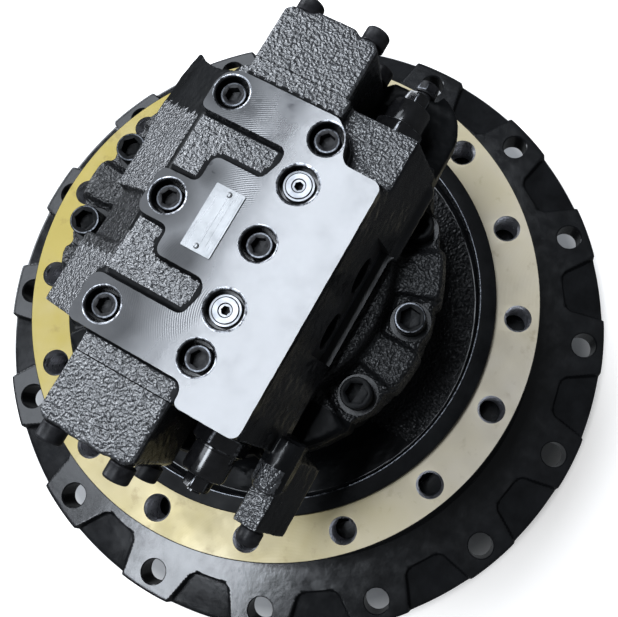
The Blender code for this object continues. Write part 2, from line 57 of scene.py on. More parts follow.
# ------------------------------------------------------------------ materials
class Mat:
    """A Principled material with its node graph built in calls."""

    def __init__(self, name, color, rough, metal=0.0, coat=0.0, coat_rough=0.08, spec=0.5):
        self.m = bpy.data.materials.new(name)
        self.m.use_nodes = True
        self.nt = self.m.node_tree
        self.b = self.nt.nodes["Principled BSDF"]
        self.b.inputs["Base Color"].default_value = (*color, 1.0)
        self.b.inputs["Roughness"].default_value = rough
        self.b.inputs["Metallic"].default_value = metal
        self.b.inputs["Specular IOR Level"].default_value = spec
        self.b.inputs["Coat Weight"].default_value = coat
        self.b.inputs["Coat Roughness"].default_value = coat_rough
        self.co = self.nt.nodes.new("ShaderNodeTexCoord").outputs["Object"]
        self.normal = None

    def node(self, kind, **props):
        n = self.nt.nodes.new(kind)
        for k, v in props.items():
            setattr(n, k, v)
        return n

    def link(self, a, b):
        self.nt.links.new(a, b)

    def noise(self, scale, detail=3.0, rough=0.5, stretch=None, offset=None, distort=0.0):
        v = self.co
        if stretch or offset:
            mp = self.node("ShaderNodeMapping")
            mp.inputs["Scale"].default_value = stretch or (1, 1, 1)
            mp.inputs["Location"].default_value = offset or (0, 0, 0)
            self.link(v, mp.inputs["Vector"])
            v = mp.outputs["Vector"]
        n = self.node("ShaderNodeTexNoise")
        n.inputs["Scale"].default_value = scale
        n.inputs["Detail"].default_value = detail
        n.inputs["Roughness"].default_value = rough
        n.inputs["Distortion"].default_value = distort
        self.link(v, n.inputs["Vector"])
        return n.outputs["Fac"]

    def voronoi(self, scale, feature="F1", smooth=None):
        n = self.node("ShaderNodeTexVoronoi", feature=feature)
        n.inputs["Scale"].default_value = scale
        self.link(self.co, n.inputs["Vector"])
        return n.outputs["Distance"]

    def rings(self, scale, centre=(0, 0, 0), distort=0.0):
        mp = self.node("ShaderNodeMapping")
        mp.inputs["Location"].default_value = tuple(-c * MM for c in centre)
        self.link(self.co, mp.inputs["Vector"])
        n = self.node("ShaderNodeTexWave", wave_type="RINGS", rings_direction="Z")
        n.inputs["Scale"].default_value = scale
        n.inputs["Distortion"].default_value = distort
        n.inputs["Detail"].default_value = 1.0
        self.link(mp.outputs["Vector"], n.inputs["Vector"])
        return n.outputs["Fac"]

    def remap(self, fac, a0, a1, b0, b1):
        n = self.node("ShaderNodeMapRange")
        for k, v in zip(("From Min", "From Max", "To Min", "To Max"), (a0, a1, b0, b1)):
            n.inputs[k].default_value = v
        self.link(fac, n.inputs["Value"])
        return n.outputs["Result"]

    def spots(self, places):
        """1 inside the first radius of any place (x, y, z, r0, r1 in mm), 0 beyond the second."""
        out = None
        for x, y, z, r0, r1 in places:
            n = self.node("ShaderNodeVectorMath", operation="DISTANCE")
            n.inputs[1].default_value = (x * MM, y * MM, z * MM)
            self.link(self.co, n.inputs[0])
            q = self.remap(n.outputs["Value"], r0 * MM, r1 * MM, 1.0, 0.0)
            out = q if out is None else self.math("MAXIMUM", out, q)
        return out

    def math(self, op, a, b):
        n = self.node("ShaderNodeMath", operation=op)
        for i, v in enumerate((a, b)):
            if isinstance(v, (int, float)):
                n.inputs[i].default_value = v
            else:
                self.link(v, n.inputs[i])
        return n.outputs[0]

    def ramp(self, fac, stops):
        n = self.node("ShaderNodeValToRGB")
        el = n.color_ramp.elements
        while len(el) < len(stops):
            el.new(0.5)
        for e, (p, c) in zip(el, stops):
            e.position = p
            e.color = (*c, 1.0) if len(c) == 3 else c
        self.link(fac, n.inputs["Fac"])
        return n.outputs["Color"]

    def mix(self, fac, a, b):
        n = self.node("ShaderNodeMix", data_type="RGBA")
        ins = [s for s in n.inputs if s.type == "RGBA"]
        for s, v in zip(ins, (a, b)):
            if isinstance(v, tuple):
                s.default_value = (*v, 1.0)
            else:
                self.link(v, s)
        f = [s for s in n.inputs if s.name == "Factor" and s.type == "VALUE"][0]
        self.link(fac, f)
        return [s for s in n.outputs if s.type == "RGBA"][0]

    def color(self, out):
        self.link(out, self.b.inputs["Base Color"])
        return self

    def rough(self, out):
        self.link(out, self.b.inputs["Roughness"])
        return self

    def bump(self, height, distance, strength=1.0):
        n = self.node("ShaderNodeBump")
        n.inputs["Distance"].default_value = distance
        n.inputs["Strength"].default_value = strength
        self.link(height, n.inputs["Height"])
        if self.normal is not None:
            self.link(self.normal, n.inputs["Normal"])
        self.normal = n.outputs["Normal"]
        self.link(self.normal, self.b.inputs["Normal"])
        return self


def cast_material(name, grain, depth, shade_tone=1.0, rough=(0.12, 0.26), spec=1.0, lumps=0.0005):
    """Sand-cast iron under gloss paint: grain is cells per metre, depth the relief in metres; the tone factor lightens
    or darkens a copy's colour to stand in for the light its place gets (painted light and shade).
    """
    m = Mat(name, (0.014, 0.0145, 0.016), 0.3, spec=spec)
    h = m.math("ADD", m.noise(grain, 1.0, 0.35), m.math("MULTIPLY", m.noise(grain * 0.5, 1.0, 0.4, offset=(3, 1, 2)), 0.4))
    m.color(m.ramp(m.math("ADD", h, m.math("MULTIPLY", m.noise(60, 3), 0.3)), [(0.55, tuple(c * shade_tone for c in (0.002, 0.002, 0.0025))), (0.9, tuple(c * shade_tone for c in (0.028, 0.029, 0.031)))]))
    m.rough(m.remap(h, 0.5, 0.9, rough[1], rough[0]))
    m.bump(m.noise(110, 3, 0.5), lumps, 1.0)
    m.bump(h, depth, 1.0)
    return m.m


def smooth_paint(name, color=(0.006, 0.0063, 0.007), rough=(0.16, 0.3), depth=0.00012, coat=0.0, spec=0.4):
    m = Mat(name, color, 0.25, coat=coat, coat_rough=0.06, spec=spec)
    m.color(m.ramp(m.noise(35, 4, 0.6), [(0.35, tuple(c * 0.75 for c in color)), (0.7, tuple(c * 1.7 for c in color))]))
    m.rough(m.remap(m.noise(60, 4, 0.6), 0.3, 0.7, *rough))
    m.bump(m.noise(140, 3, 0.5), depth, 1.0)
    m.bump(m.noise(26, 2, 0.5), depth * 4, 0.5)
    return m.m


# the cast copies are lightened or darkened for the light their places get: the coarse one is lightened for the lit top
# of the valve block (painted light); the fine one, darkened, goes on the gear cover, the hub's neck in the recess and
# the dip in the block's flank, and the rear one, darkened, on the rear flange under the block (painted shade)
CAST = cast_material("cast_black_coarse", 530, 0.0016, 1.75, rough=(0.17, 0.31))
CAST_SHADED = cast_material("cast_black_fine_shaded", 380, 0.0022, 0.5, rough=(0.22, 0.4), spec=0.25)
WALL = smooth_paint("black_gloss_wall", depth=0.00009, spec=0.3)
GLOSS = smooth_paint("black_gloss_turned", rough=(0.12, 0.24), depth=0.00008)
CAST_REAR_SHADED = cast_material("cast_black_rear_shaded", 480, 0.0015, 0.45, rough=(0.22, 0.38), spec=0.28)
# dark satin paint with almost no reflection: the spigot's face and the case bolts' heads have it; faces under the valve
# block, beside the plate and in the block's valleys take it as a painted shade
SATIN_AND_SHADE = smooth_paint("black_satin_and_shade", color=(0.0045, 0.0048, 0.0052), rough=(0.24, 0.4), depth=0.0001, spec=0.05)
LUG = smooth_paint("black_gloss_lug", color=(0.004, 0.0043, 0.005), rough=(0.13, 0.22), depth=0.0001, spec=0.7)
PORT = smooth_paint("black_port_wall", color=(0.012, 0.0124, 0.0135), rough=(0.3, 0.45), depth=0.00012, spec=0.45)
POCKET = cast_material("cast_black_pocket", 420, 0.0016, 0.5, rough=(0.26, 0.42), spec=0.12)

# milled top under a thin coat of paint: fine arcs, faint stains, and darker, rougher patches at given places; their
# rougher paint is real, their darker colour a painted shade
m = Mat("milled_black_thin_paint", (0.03, 0.034, 0.04), 0.16, spec=0.88)
arcs = m.rings(TURN / 20 / 0.00145, (57, -45, 603), 0.25)
wear = m.noise(14, 4, 0.65)
# dull patches: rougher paint, and a painted shade that darkens the colour where the top looks dark
dull_and_shade = m.spots([(-42, 84, 603, 12, 46), (-42, 2, 603, 20, 48), (-36, -80, 603, 26, 54), (-6, -30, 603, 8, 30), (-18, 26, 603, 4, 26)])
base = m.ramp(wear, [(0.3, (0.018, 0.020, 0.025)), (0.55, (0.032, 0.035, 0.042)), (0.75, (0.055, 0.059, 0.068))])
m.color(m.mix(m.math("MULTIPLY", dull_and_shade, 0.8), base, (0.008, 0.009, 0.011)))
stain = m.remap(m.noise(24, 5, 0.7, offset=(2, 5, 1)), 0.53, 0.56, 0.0, 1.0)
dim = m.math("ADD", m.math("MULTIPLY", dull_and_shade, 0.52), m.math("MULTIPLY", stain, m.math("ADD", m.math("MULTIPLY", dull_and_shade, 0.2), 0.035)))
m.rough(m.math("ADD", m.remap(m.noise(45, 5, 0.65), 0.3, 0.75, 0.08, 0.2), dim))
near = m.math("MULTIPLY", m.spots([(-8, -50, 603, 14, 40), (-18, 72, 603, 8, 26), (-2, 25, 603, 4, 22)]), m.remap(m.noise(16, 2, 0.5), 0.38, 0.6, 0.15, 1.0))
m.bump(m.math("MULTIPLY", arcs, near), 0.00013, 1.0)
m.bump(m.noise(900, 2, 0.5), 0.00002, 0.5)
MILLED = m.m

# turned frame face with a light beige rust film, yellower towards -X
m = Mat("turned_beige_film", (0.38, 0.35, 0.27), 0.36, metal=0.25, spec=0.5)
sep = m.node("ShaderNodeSeparateXYZ")
m.link(m.co, sep.inputs[0])
side = m.remap(sep.outputs["X"], -0.24, 0.24, 1.0, 0.0)
side = m.math("ADD", m.math("MULTIPLY", side, 0.6), m.math("MULTIPLY", m.spots([(120, -185, 386, 20, 170)]), 0.22))
film = m.math("ADD", side, m.math("MULTIPLY", m.noise(9, 4, 0.6), 0.55))
tint = m.ramp(film, [(0.2, (0.50, 0.45, 0.37)), (0.42, (0.48, 0.42, 0.29)), (0.66, (0.38, 0.315, 0.15)), (0.86, (0.34, 0.265, 0.05))])
spots = m.ramp(m.noise(60, 6, 0.7), [(0.30, (0.42, 0.33, 0.20)), (0.42, (1, 1, 1))])
mul = m.node("ShaderNodeMix", data_type="RGBA", blend_type="MULTIPLY")
rg = [s for s in mul.inputs if s.type == "RGBA"]
mul.inputs[0].default_value = 0.35
m.link(tint, rg[0])
m.link(spots, rg[1])
m.color([s for s in mul.outputs if s.type == "RGBA"][0])
m.rough(m.remap(m.noise(38, 5, 0.6), 0.3, 0.7, 0.28, 0.46))
m.bump(m.rings(TURN / 20 / 0.0012, (0, 0, 0), 0.1), 0.00002, 1.0)
m.bump(m.noise(500, 3, 0.6), 0.00004, 0.5)
GOLD = m.m

# fasteners
m = Mat("black_oxide", (0.012, 0.012, 0.013), 0.4, metal=0.0, spec=0.15)
m.color(m.ramp(m.noise(160, 4, 0.6), [(0.35, (0.007, 0.007, 0.008)), (0.7, (0.024, 0.024, 0.026))]))
m.rough(m.remap(m.noise(220, 3), 0.3, 0.7, 0.3, 0.5))
m.bump(m.noise(700, 2, 0.5), 0.00004, 0.6)
OXIDE = m.m
# worn rim: bright bare metal on bolt-head chamfers, counterbore edges and the relief valves' chamfers and hex corners;
# partly rubbed metal, partly a painted highlight for the glints these edges catch
m = Mat("worn_rim_and_painted_glint", (0.35, 0.36, 0.38), 0.3, metal=1.0)
m.color(m.ramp(m.noise(330, 4, 0.6), [(0.36, (0.05, 0.05, 0.055)), (0.58, (0.31, 0.32, 0.34))]))
m.rough(m.remap(m.noise(300, 3), 0.3, 0.7, 0.2, 0.4))
m.bump(m.noise(600, 2, 0.5), 0.00006, 0.6)
RIM = m.m
m = Mat("plated_steel", (0.78, 0.78, 0.79), 0.2, metal=1.0)
m.color(m.ramp(m.noise(90, 4, 0.6), [(0.35, (0.62, 0.62, 0.64)), (0.65, (0.84, 0.84, 0.85))]))
m.rough(m.remap(m.noise(120, 4), 0.3, 0.7, 0.16, 0.34))
m.bump(m.noise(500, 2, 0.5), 0.00003, 0.5)
PLATED = m.m
m = Mat("plated_dull", (0.2, 0.205, 0.215), 0.3, metal=1.0)
m.color(m.ramp(m.noise(90, 4, 0.6), [(0.35, (0.13, 0.134, 0.142)), (0.65, (0.22, 0.225, 0.235))]))
m.rough(m.remap(m.noise(120, 4), 0.3, 0.7, 0.24, 0.42))
m.bump(m.noise(500, 2, 0.5), 0.00003, 0.5)
PLUG = m.m
# edge metal: a bright edge on the spigot's inner edge, the bolt heads' chamfers and the upper lobe plug's hex corners,
# a painted highlight standing in for the glints on these edges
m = Mat("edge_painted_glint", (0.09, 0.094, 0.10), 0.25, metal=1.0, spec=0.8)
m.color(m.ramp(m.noise(300, 3, 0.6), [(0.38, (0.03, 0.032, 0.036)), (0.6, (0.10, 0.105, 0.115))]))
m.rough(m.remap(m.noise(300, 3), 0.3, 0.7, 0.2, 0.35))
m.bump(m.noise(500, 2, 0.5), 0.00004, 0.6)
RIM2 = m.m
m = Mat("nameplate_satin", (0.22, 0.225, 0.23), 0.3, metal=0.5)
m.color(m.ramp(m.noise(70, 5, 0.65), [(0.3, (0.17, 0.175, 0.18)), (0.6, (0.26, 0.265, 0.27))]))
m.rough(m.remap(m.noise(260, 4, 0.6, stretch=(1, 0.15, 1)), 0.3, 0.7, 0.22, 0.42))
m.bump(m.noise(480, 3, 0.5, stretch=(1, 0.1, 1)), 0.00004, 0.6)
TAG = m.m
m = Mat("ground_steel", (0.42, 0.42, 0.44), 0.3, metal=1.0)
m.color(m.ramp(m.noise(50, 4, 0.6), [(0.3, (0.34, 0.34, 0.36)), (0.7, (0.52, 0.52, 0.54))]))
m.rough(m.remap(m.noise(180, 4, 0.6, stretch=(1, 1, 8)), 0.3, 0.7, 0.22, 0.42))
m.bump(m.noise(400, 3, 0.5, stretch=(1, 1, 6)), 0.00003, 0.5)
STEEL = m.m
m = Mat("bronze", (0.55, 0.36, 0.16), 0.32, metal=1.0)
m.color(m.ramp(m.noise(60, 4, 0.6), [(0.3, (0.44, 0.27, 0.11)), (0.7, (0.62, 0.42, 0.2))]))
m.rough(m.remap(m.noise(200, 3), 0.3, 0.7, 0.25, 0.42))
m.bump(m.noise(420, 3, 0.5), 0.00003, 0.5)
BRONZE = m.m
m = Mat("seal_rubber", (0.012, 0.012, 0.012), 0.6, spec=0.4)
m.rough(m.remap(m.noise(150, 3), 0.3, 0.7, 0.5, 0.75))
m.bump(m.noise(300, 3, 0.5), 0.00006, 0.5)
RUBBER = m.m

m = Mat("black_gloss_valve", (0.006, 0.006, 0.0068), 0.16, spec=0.9)
m.color(m.ramp(m.noise(120, 4, 0.6), [(0.35, (0.004, 0.004, 0.0045)), (0.7, (0.010, 0.010, 0.011))]))
m.rough(m.remap(m.noise(150, 3), 0.3, 0.7, 0.10, 0.2))
m.bump(m.noise(300, 2, 0.5), 0.00003, 0.6)
VALVE = m.m

# ------------------------------------------------------------------ mesh tools


def put(name, me, mats=()):
    o = bpy.data.objects.new(name, me)
    scene.collection.objects.link(o)
    if mats:
        me.materials.clear()
        for x in mats:
            me.materials.append(x)
    return o


def mesh(name, verts, faces, mats=(), index=None, recalc=True):
    """Vertices in millimetres."""
    me = bpy.data.meshes.new(name)
    me.from_pydata((np.asarray(verts, float) * MM).tolist(), [], faces)
    for x in mats:
        me.materials.append(x)
    if index is not None:
        me.polygons.foreach_set("material_index", np.asarray(index, np.int32))
    if recalc:
        bm = bmesh.new()
        bm.from_mesh(me)
        bmesh.ops.recalc_face_normals(bm, faces=bm.faces)
        bm.to_mesh(me)
        bm.free()
    o = bpy.data.objects.new(name, me)
    scene.collection.objects.link(o)
    return o


def settle(o):
    """Applies o's modifiers and its placement to its mesh."""
    bpy.context.view_layer.update()
    dg = bpy.context.evaluated_depsgraph_get()
    me = bpy.data.meshes.new_from_object(o.evaluated_get(dg), preserve_all_data_layers=True, depsgraph=dg)
    me.transform(o.matrix_world)
    old = o.data
    o.modifiers.clear()
    o.data = me
    o.matrix_world = Matrix.Identity(4)
    me.name = o.name
    if old.users == 0:
        (bpy.data.curves if isinstance(old, bpy.types.Curve) else bpy.data.meshes).remove(old)
    return o


def drop(*objs):
    for o in objs:
        me = o.data
        bpy.data.objects.remove(o, do_unlink=True)
        if me.users == 0:
            bpy.data.meshes.remove(me)


def shade(o, angle=35):
    o.data.shade_smooth()
    o.data.set_sharp_from_angle(angle=math.radians(angle))
    return o


def plane(o, least=30.0):
    """Shades the large flat faces flat: their neighbours' chamfers would bend the light on them."""
    for p in o.data.polygons:
        if p.area > least * MM * MM:
            p.use_smooth = False
    return o


def tidy(o):
    """Drops what the cuts leave behind: doubled points, slivers, and pairs of faces with nothing between them."""
    bm = bmesh.new()
    bm.from_mesh(o.data)
    bmesh.ops.triangulate(bm, faces=bm.faces)
    bmesh.ops.remove_doubles(bm, verts=bm.verts, dist=0.000002)
    bmesh.ops.dissolve_degenerate(bm, edges=bm.edges, dist=0.000001)
    bmesh.ops.triangulate(bm, faces=[f for f in bm.faces if len(f.verts) > 3])
    bm.verts.index_update()
    seen, twice = {}, set()
    for f in bm.faces:
        k = frozenset(v.index for v in f.verts)
        if k in seen:
            twice.update((f, seen[k]))
        seen[k] = f
    bmesh.ops.delete(bm, geom=list(twice), context="FACES")
    bm.to_mesh(o.data)
    bm.free()
    return o


def fillet(pts, closed=True, step=15.0):
    """Rounds the corners of a path of (a, b, radius, tag); gives (a, b, tag)."""
    n, out = len(pts), []
    for i, (x, y, r, t) in enumerate(pts):
        if r <= 0 or (not closed and i in (0, n - 1)):
            out.append((x, y, t))
            continue
        p, a, b = Vector((x, y)), Vector(pts[i - 1][:2]), Vector(pts[(i + 1) % n][:2])
        u, v = a - p, b - p
        lu, lv = u.length, v.length
        u, v = u / lu, v / lv
        ang = math.acos(max(-1.0, min(1.0, u.dot(v))))
        if ang > math.radians(177) or ang < math.radians(2):
            out.append((x, y, t))
            continue
        tl = min(r / math.tan(ang / 2), 0.48 * lu, 0.48 * lv)
        rr = tl * math.tan(ang / 2)
        c = p + (u + v).normalized() * (rr / math.sin(ang / 2))
        s, e = p + u * tl, p + v * tl
        a0, a1 = math.atan2(s.y - c.y, s.x - c.x), math.atan2(e.y - c.y, e.x - c.x)
        d = (a1 - a0 + math.pi) % TURN - math.pi
        k = max(2, math.ceil(abs(math.degrees(d)) / step))
        for j in range(k + 1):
            q = a0 + d * j / k
            out.append((c.x + rr * math.cos(q), c.y + rr * math.sin(q), t))
    return out


def divide(path, longest, closed=True, tags=None):
    """Splits the long stretches of a path so that its surface can carry relief."""
    out = []
    n = len(path)
    for i in range(n if closed else n - 1):
        a, b = path[i], path[(i + 1) % n]
        out.append(a)
        if tags is not None and a[2] not in tags:
            continue
        k = int(math.hypot(b[0] - a[0], b[1] - a[1]) / longest)
        for j in range(1, k + 1):
            t = j / (k + 1)
            out.append((a[0] + (b[0] - a[0]) * t, a[1] + (b[1] - a[1]) * t, a[2]))
    if not closed:
        out.append(path[-1])
    return out


def lathe(name, path, mats, segs=180, closed=True, angles=None, warp=None):
    """Turns a path of (radius, height, tag) about Z; tag is the material's index."""
    ang = np.radians(angles) if angles is not None else np.arange(segs) * TURN / segs
    n = len(ang)
    ca, sa = np.cos(ang), np.sin(ang)
    rows, where = [], []
    count = 0
    for r, z, _ in path:
        if r < 1e-6:
            rows.append(np.array([[0.0, 0.0, z]]))
            where.append((count, 1))
            count += 1
        else:
            rows.append(np.stack([r * ca, r * sa, np.full(n, z)], 1))
            where.append((count, n))
            count += n
    v = np.concatenate(rows)
    if warp is not None:
        v = warp(v)
    faces, idx = [], []
    m_ = len(path)
    for i in range(m_ if closed else m_ - 1):
        (a, na), (b, nb) = where[i], where[(i + 1) % m_]
        tag = path[i][2]
        if na == 1 and nb == 1:
            continue
        for j in range(n):
            k = (j + 1) % n
            if na == 1:
                faces.append((a, b + k, b + j))
            elif nb == 1:
                faces.append((a + j, a + k, b))
            else:
                faces.append((a + j, a + k, b + k, b + j))
            idx.append(tag)
    return mesh(name, v, faces, mats, idx)


def outline_solid(name, loops, z0, z1, mats=()):
    """A flat outline (outer loop, then holes) given a thickness."""
    cu = bpy.data.curves.new(name + "_c", "CURVE")
    cu.dimensions = "2D"
    cu.fill_mode = "BOTH"
    cu.extrude = (z1 - z0) / 2 * MM
    for loop in loops:
        sp = cu.splines.new("POLY")
        sp.points.add(len(loop) - 1)
        for p, (x, y) in zip(sp.points, loop):
            p.co = (x * MM, y * MM, 0.0, 1.0)
        sp.use_cyclic_u = True
    tmp = bpy.data.objects.new(name + "_c", cu)
    scene.collection.objects.link(tmp)
    bpy.context.view_layer.update()
    me = bpy.data.meshes.new_from_object(tmp.evaluated_get(bpy.context.evaluated_depsgraph_get()))
    bpy.data.objects.remove(tmp, do_unlink=True)
    bpy.data.curves.remove(cu)
    bm = bmesh.new()
    bm.from_mesh(me)
    bmesh.ops.remove_doubles(bm, verts=bm.verts, dist=0.000002)
    bmesh.ops.translate(bm, verts=bm.verts, vec=(0, 0, (z0 + z1) / 2 * MM))
    bmesh.ops.recalc_face_normals(bm, faces=bm.faces)
    bm.to_mesh(me)
    bm.free()
    me.name = name
    return put(name, me, mats)


def loft(name, loop0, z0, loop1, z1, mats=()):
    """Joins two outlines with equal point counts, at two heights, and caps both."""
    n = len(loop0)
    v = [(x, y, z0) for x, y in loop0] + [(x, y, z1) for x, y in loop1]
    f = [(i, (i + 1) % n, n + (i + 1) % n, n + i) for i in range(n)] + [tuple(range(n))[::-1], tuple(range(n, 2 * n))]
    return mesh(name, v, f, mats)


def grow(loop, d):
    """Moves each point of a closed outline outwards by d."""
    n = len(loop)
    area = sum(loop[i][0] * loop[(i + 1) % n][1] - loop[(i + 1) % n][0] * loop[i][1] for i in range(n))
    s = 1.0 if area > 0 else -1.0
    out = []
    for i in range(n):
        a, p, b = Vector(loop[i - 1]), Vector(loop[i]), Vector(loop[(i + 1) % n])
        u, v = (p - a).normalized(), (b - p).normalized()
        n1, n2 = Vector((u.y, -u.x)) * s, Vector((v.y, -v.x)) * s
        w = (n1 + n2)
        w = w / max(0.35, w.length_squared / 2) if w.length > 1e-6 else n1
        out.append((p.x + w.x * d, p.y + w.y * d))
    return out


AXIS = {
    "Z": Matrix.Identity(4),
    "-Z": Matrix.Rotation(math.pi, 4, "X"),
    "Y": Matrix.Rotation(-math.pi / 2, 4, "X"),
    "-Y": Matrix.Rotation(math.pi / 2, 4, "X"),
    "X": Matrix.Rotation(math.pi / 2, 4, "Y"),
}


def at(x, y, z, along="Z", turn=0.0):
    return Matrix.Translation(Vector((x, y, z)) * MM) @ AXIS[along] @ Matrix.Rotation(math.radians(turn), 4, "Z")


def moved(o, mtx):
    o.data.transform(mtx)
    return o


def merged(name, objs, mats=None):
    """One object from several, sharing the material slots of the first."""
    bm = bmesh.new()
    first = objs[0].data.materials[:]
    for o in objs:
        bm.from_mesh(o.data)
    me = bpy.data.meshes.new(name)
    bm.to_mesh(me)
    bm.free()
    drop(*objs)
    return put(name, me, mats or first)


def cut(o, tool, op="DIFFERENCE", keep=False):
    b = o.modifiers.new("cut", "BOOLEAN")
    b.operation = op
    b.object = tool
    b.solver = "MANIFOLD"
    b.material_mode = "TRANSFER"
    settle(o)
    if not keep:
        drop(tool)
    return o


def cast(o, voxel, smooth=4, lumps=0.5, size=6.0):
    """Rounds a coarse solid into a casting: remeshed, softened, and given a slight unevenness (mm)."""
    r = o.modifiers.new("remesh", "REMESH")
    r.mode = "VOXEL"
    r.voxel_size = voxel * MM
    r.use_smooth_shade = True
    s = o.modifiers.new("soften", "SMOOTH")
    s.factor = 0.5
    s.iterations = smooth
    tex = bpy.data.textures.new("uneven", "CLOUDS")
    tex.noise_scale = size * MM
    tex.noise_depth = 2
    d = o.modifiers.new("uneven", "DISPLACE")
    d.texture = tex
    d.texture_coords = "GLOBAL"
    d.strength = lumps * MM
    d.mid_level = 0.5
    settle(o)
    return o


def cyl(name, mtx, profile, mats, segs=48, tag=0):
    """A turned cutter or small solid from (radius, height) pairs, closed on its axis."""
    path = [(0.0, profile[0][1], tag)] + [(p[0], p[1], p[2] if len(p) > 2 else tag) for p in profile] + [(0.0, profile[-1][1], tag)]
    return moved(lathe(name, path, mats, segs, closed=False), mtx)


def wear(o, body, slot, *nodes):
    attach(o, body)
    if nodes:
        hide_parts(*nodes)
    return o


# ---- threaded parts and plugs


def hexr(s, a):
    """Radius of a hexagon with s across flats, at angle a."""
    q = (a + math.pi / 6) % (math.pi / 3) - math.pi / 6
    return s / 2 / math.cos(q)


def stack(name, rings, mats, segs=72, knurls=36, knurl=0.28, wear_glint=0, wear_glint_tag=1):
    """Rings of (kind, size, height, material): c a circle's radius, k a knurled one, h a hexagon's width, b a bevelled
    hexagon (width, limit). Faces near a hexagon's corners, on bands taller than 4 mm, can take another material: rubbed
    metal and a painted highlight along the corners.
    """
    ang = np.arange(segs) * TURN / segs
    v, where, tags = [], [], []
    for kind, size, z, t in rings:
        tags.append(t)
        if size == 0:
            where.append((len(v), 1))
            v.append((0, 0, z))
            continue
        where.append((len(v), segs))
        for a in ang:
            if kind == "c":
                r = size
            elif kind == "k":
                r = size - knurl * (0.5 + 0.5 * math.cos(a * knurls))
            elif kind == "h":
                r = hexr(size, a)
            else:
                r = min(hexr(size[0], a), size[1])
            v.append((r * math.cos(a), r * math.sin(a), z))
    faces, idx = [], []
    for i in range(len(rings) - 1):
        (a, na), (b, nb) = where[i], where[i + 1]
        for j in range(segs):
            k = (j + 1) % segs
            if na == 1:
                faces.append((a, b + j, b + k))
            elif nb == 1:
                faces.append((a + j, a + k, b))
            else:
                faces.append((a + j, a + k, b + k, b + j))
            mid = (j + 0.5) * TURN / segs
            corner = abs((mid + math.pi / 6) % (math.pi / 3) - math.pi / 6) > math.radians(30 - wear_glint)
            idx.append(wear_glint_tag if wear_glint and corner and rings[i][0] in "bh" and rings[i + 1][0] in "bh" and rings[i + 1][2] - rings[i][2] > 4 else tags[i])
    return mesh(name, v, faces, mats, idx)


def cap_screw(name, d, head, high, shank, socket, mtx, segs=72, edge=None, skin=None):
    h = head / 2
    rings = [("c", 0, -shank, 0), ("c", d / 2 - 0.8, -shank, 0), ("c", d / 2, -shank + 1, 0), ("c", d / 2, 0, 0), ("c", h - 0.5, 0, 0), ("c", h, 0.5, 0),
             ("c", h, 1.4, 0), ("k", h, 1.8, 0), ("k", h, high - 2.0, 0), ("c", h, high - 1.6, 0), ("c", h - 0.2, high - 0.7, 0), ("c", h - 0.7, high - 0.14, 1),
             ("c", h - 1.65, high, 0), ("c", socket / 2 * 1.155 + 0.8, high, 0), ("b", (socket, socket / 2 * 1.155 + 0.3), high - 0.5, 0), ("h", socket, high - 1.2, 0),
             ("h", socket, high * 0.45, 0), ("c", 0, high * 0.45 - 1.6, 0)]
    o = stack(name, rings, [skin or OXIDE, edge or RIM], segs)
    moved(o, mtx)
    return shade(o, 28)


# ------------------------------------------------------------------ turning case
def smooth01(x):
    x = np.clip(x, 0.0, 1.0)
    return x * x * (3 - 2 * x)


def pocket_depth(r, phi):
    """Depth of the rough pocket between two lugs, in mm, at radius r and angle phi (degrees) from the pocket's middle."""
    half = 4.1 + (r - 280.0) / 39.0 * 2.2
    s = (np.abs(phi) - half) * r * math.pi / 180.0
    t = 280.0 - r
    rc = 9.0
    a, b = s + rc, t + rc
    d = np.hypot(np.maximum(a, 0), np.maximum(b, 0)) + np.minimum(np.maximum(a, b), 0) - rc
    return (5.0 + 3.0 * np.clip(r - 280.0, 0, 39) / 39.0) * smooth01(-d / 2.6), d


def housing_warp(v):
    r = np.hypot(v[:, 0], v[:, 1])
    a = np.degrees(np.arctan2(v[:, 1], v[:, 0]))
    phi = (a % 22.5) - 11.25
    outer = 320.4 - 0.6 * smooth01((6.6 + 1.3 - np.abs(phi)) / 3.6)
    flange = (r > 268) & (v[:, 2] > 255)
    k = np.where(flange, (285.0 + (r - 285.0) * (outer - 285.0) / 34.0), r)
    new_r = np.where(flange & (r > 285.0), k, r)
    depth, _ = pocket_depth(new_r, phi)
    top = flange & (v[:, 2] > 276)
    z = v[:, 2] - np.where(top, depth, 0.0)
    # the casting's surface is a little uneven
    un = 0.35 * np.sin(a * 0.9 + v[:, 2] * 0.11) * np.sin(v[:, 2] * 0.07 + 1.3) + 0.2 * np.sin(a * 2.7 + 0.6)
    low = (v[:, 2] < 250) & (v[:, 2] > 184) & (r > 230)
    new_r = new_r + np.where(low, un, 0.0)
    f = new_r / np.maximum(r, 1e-9)
    return np.stack([v[:, 0] * f, v[:, 1] * f, z], 1)


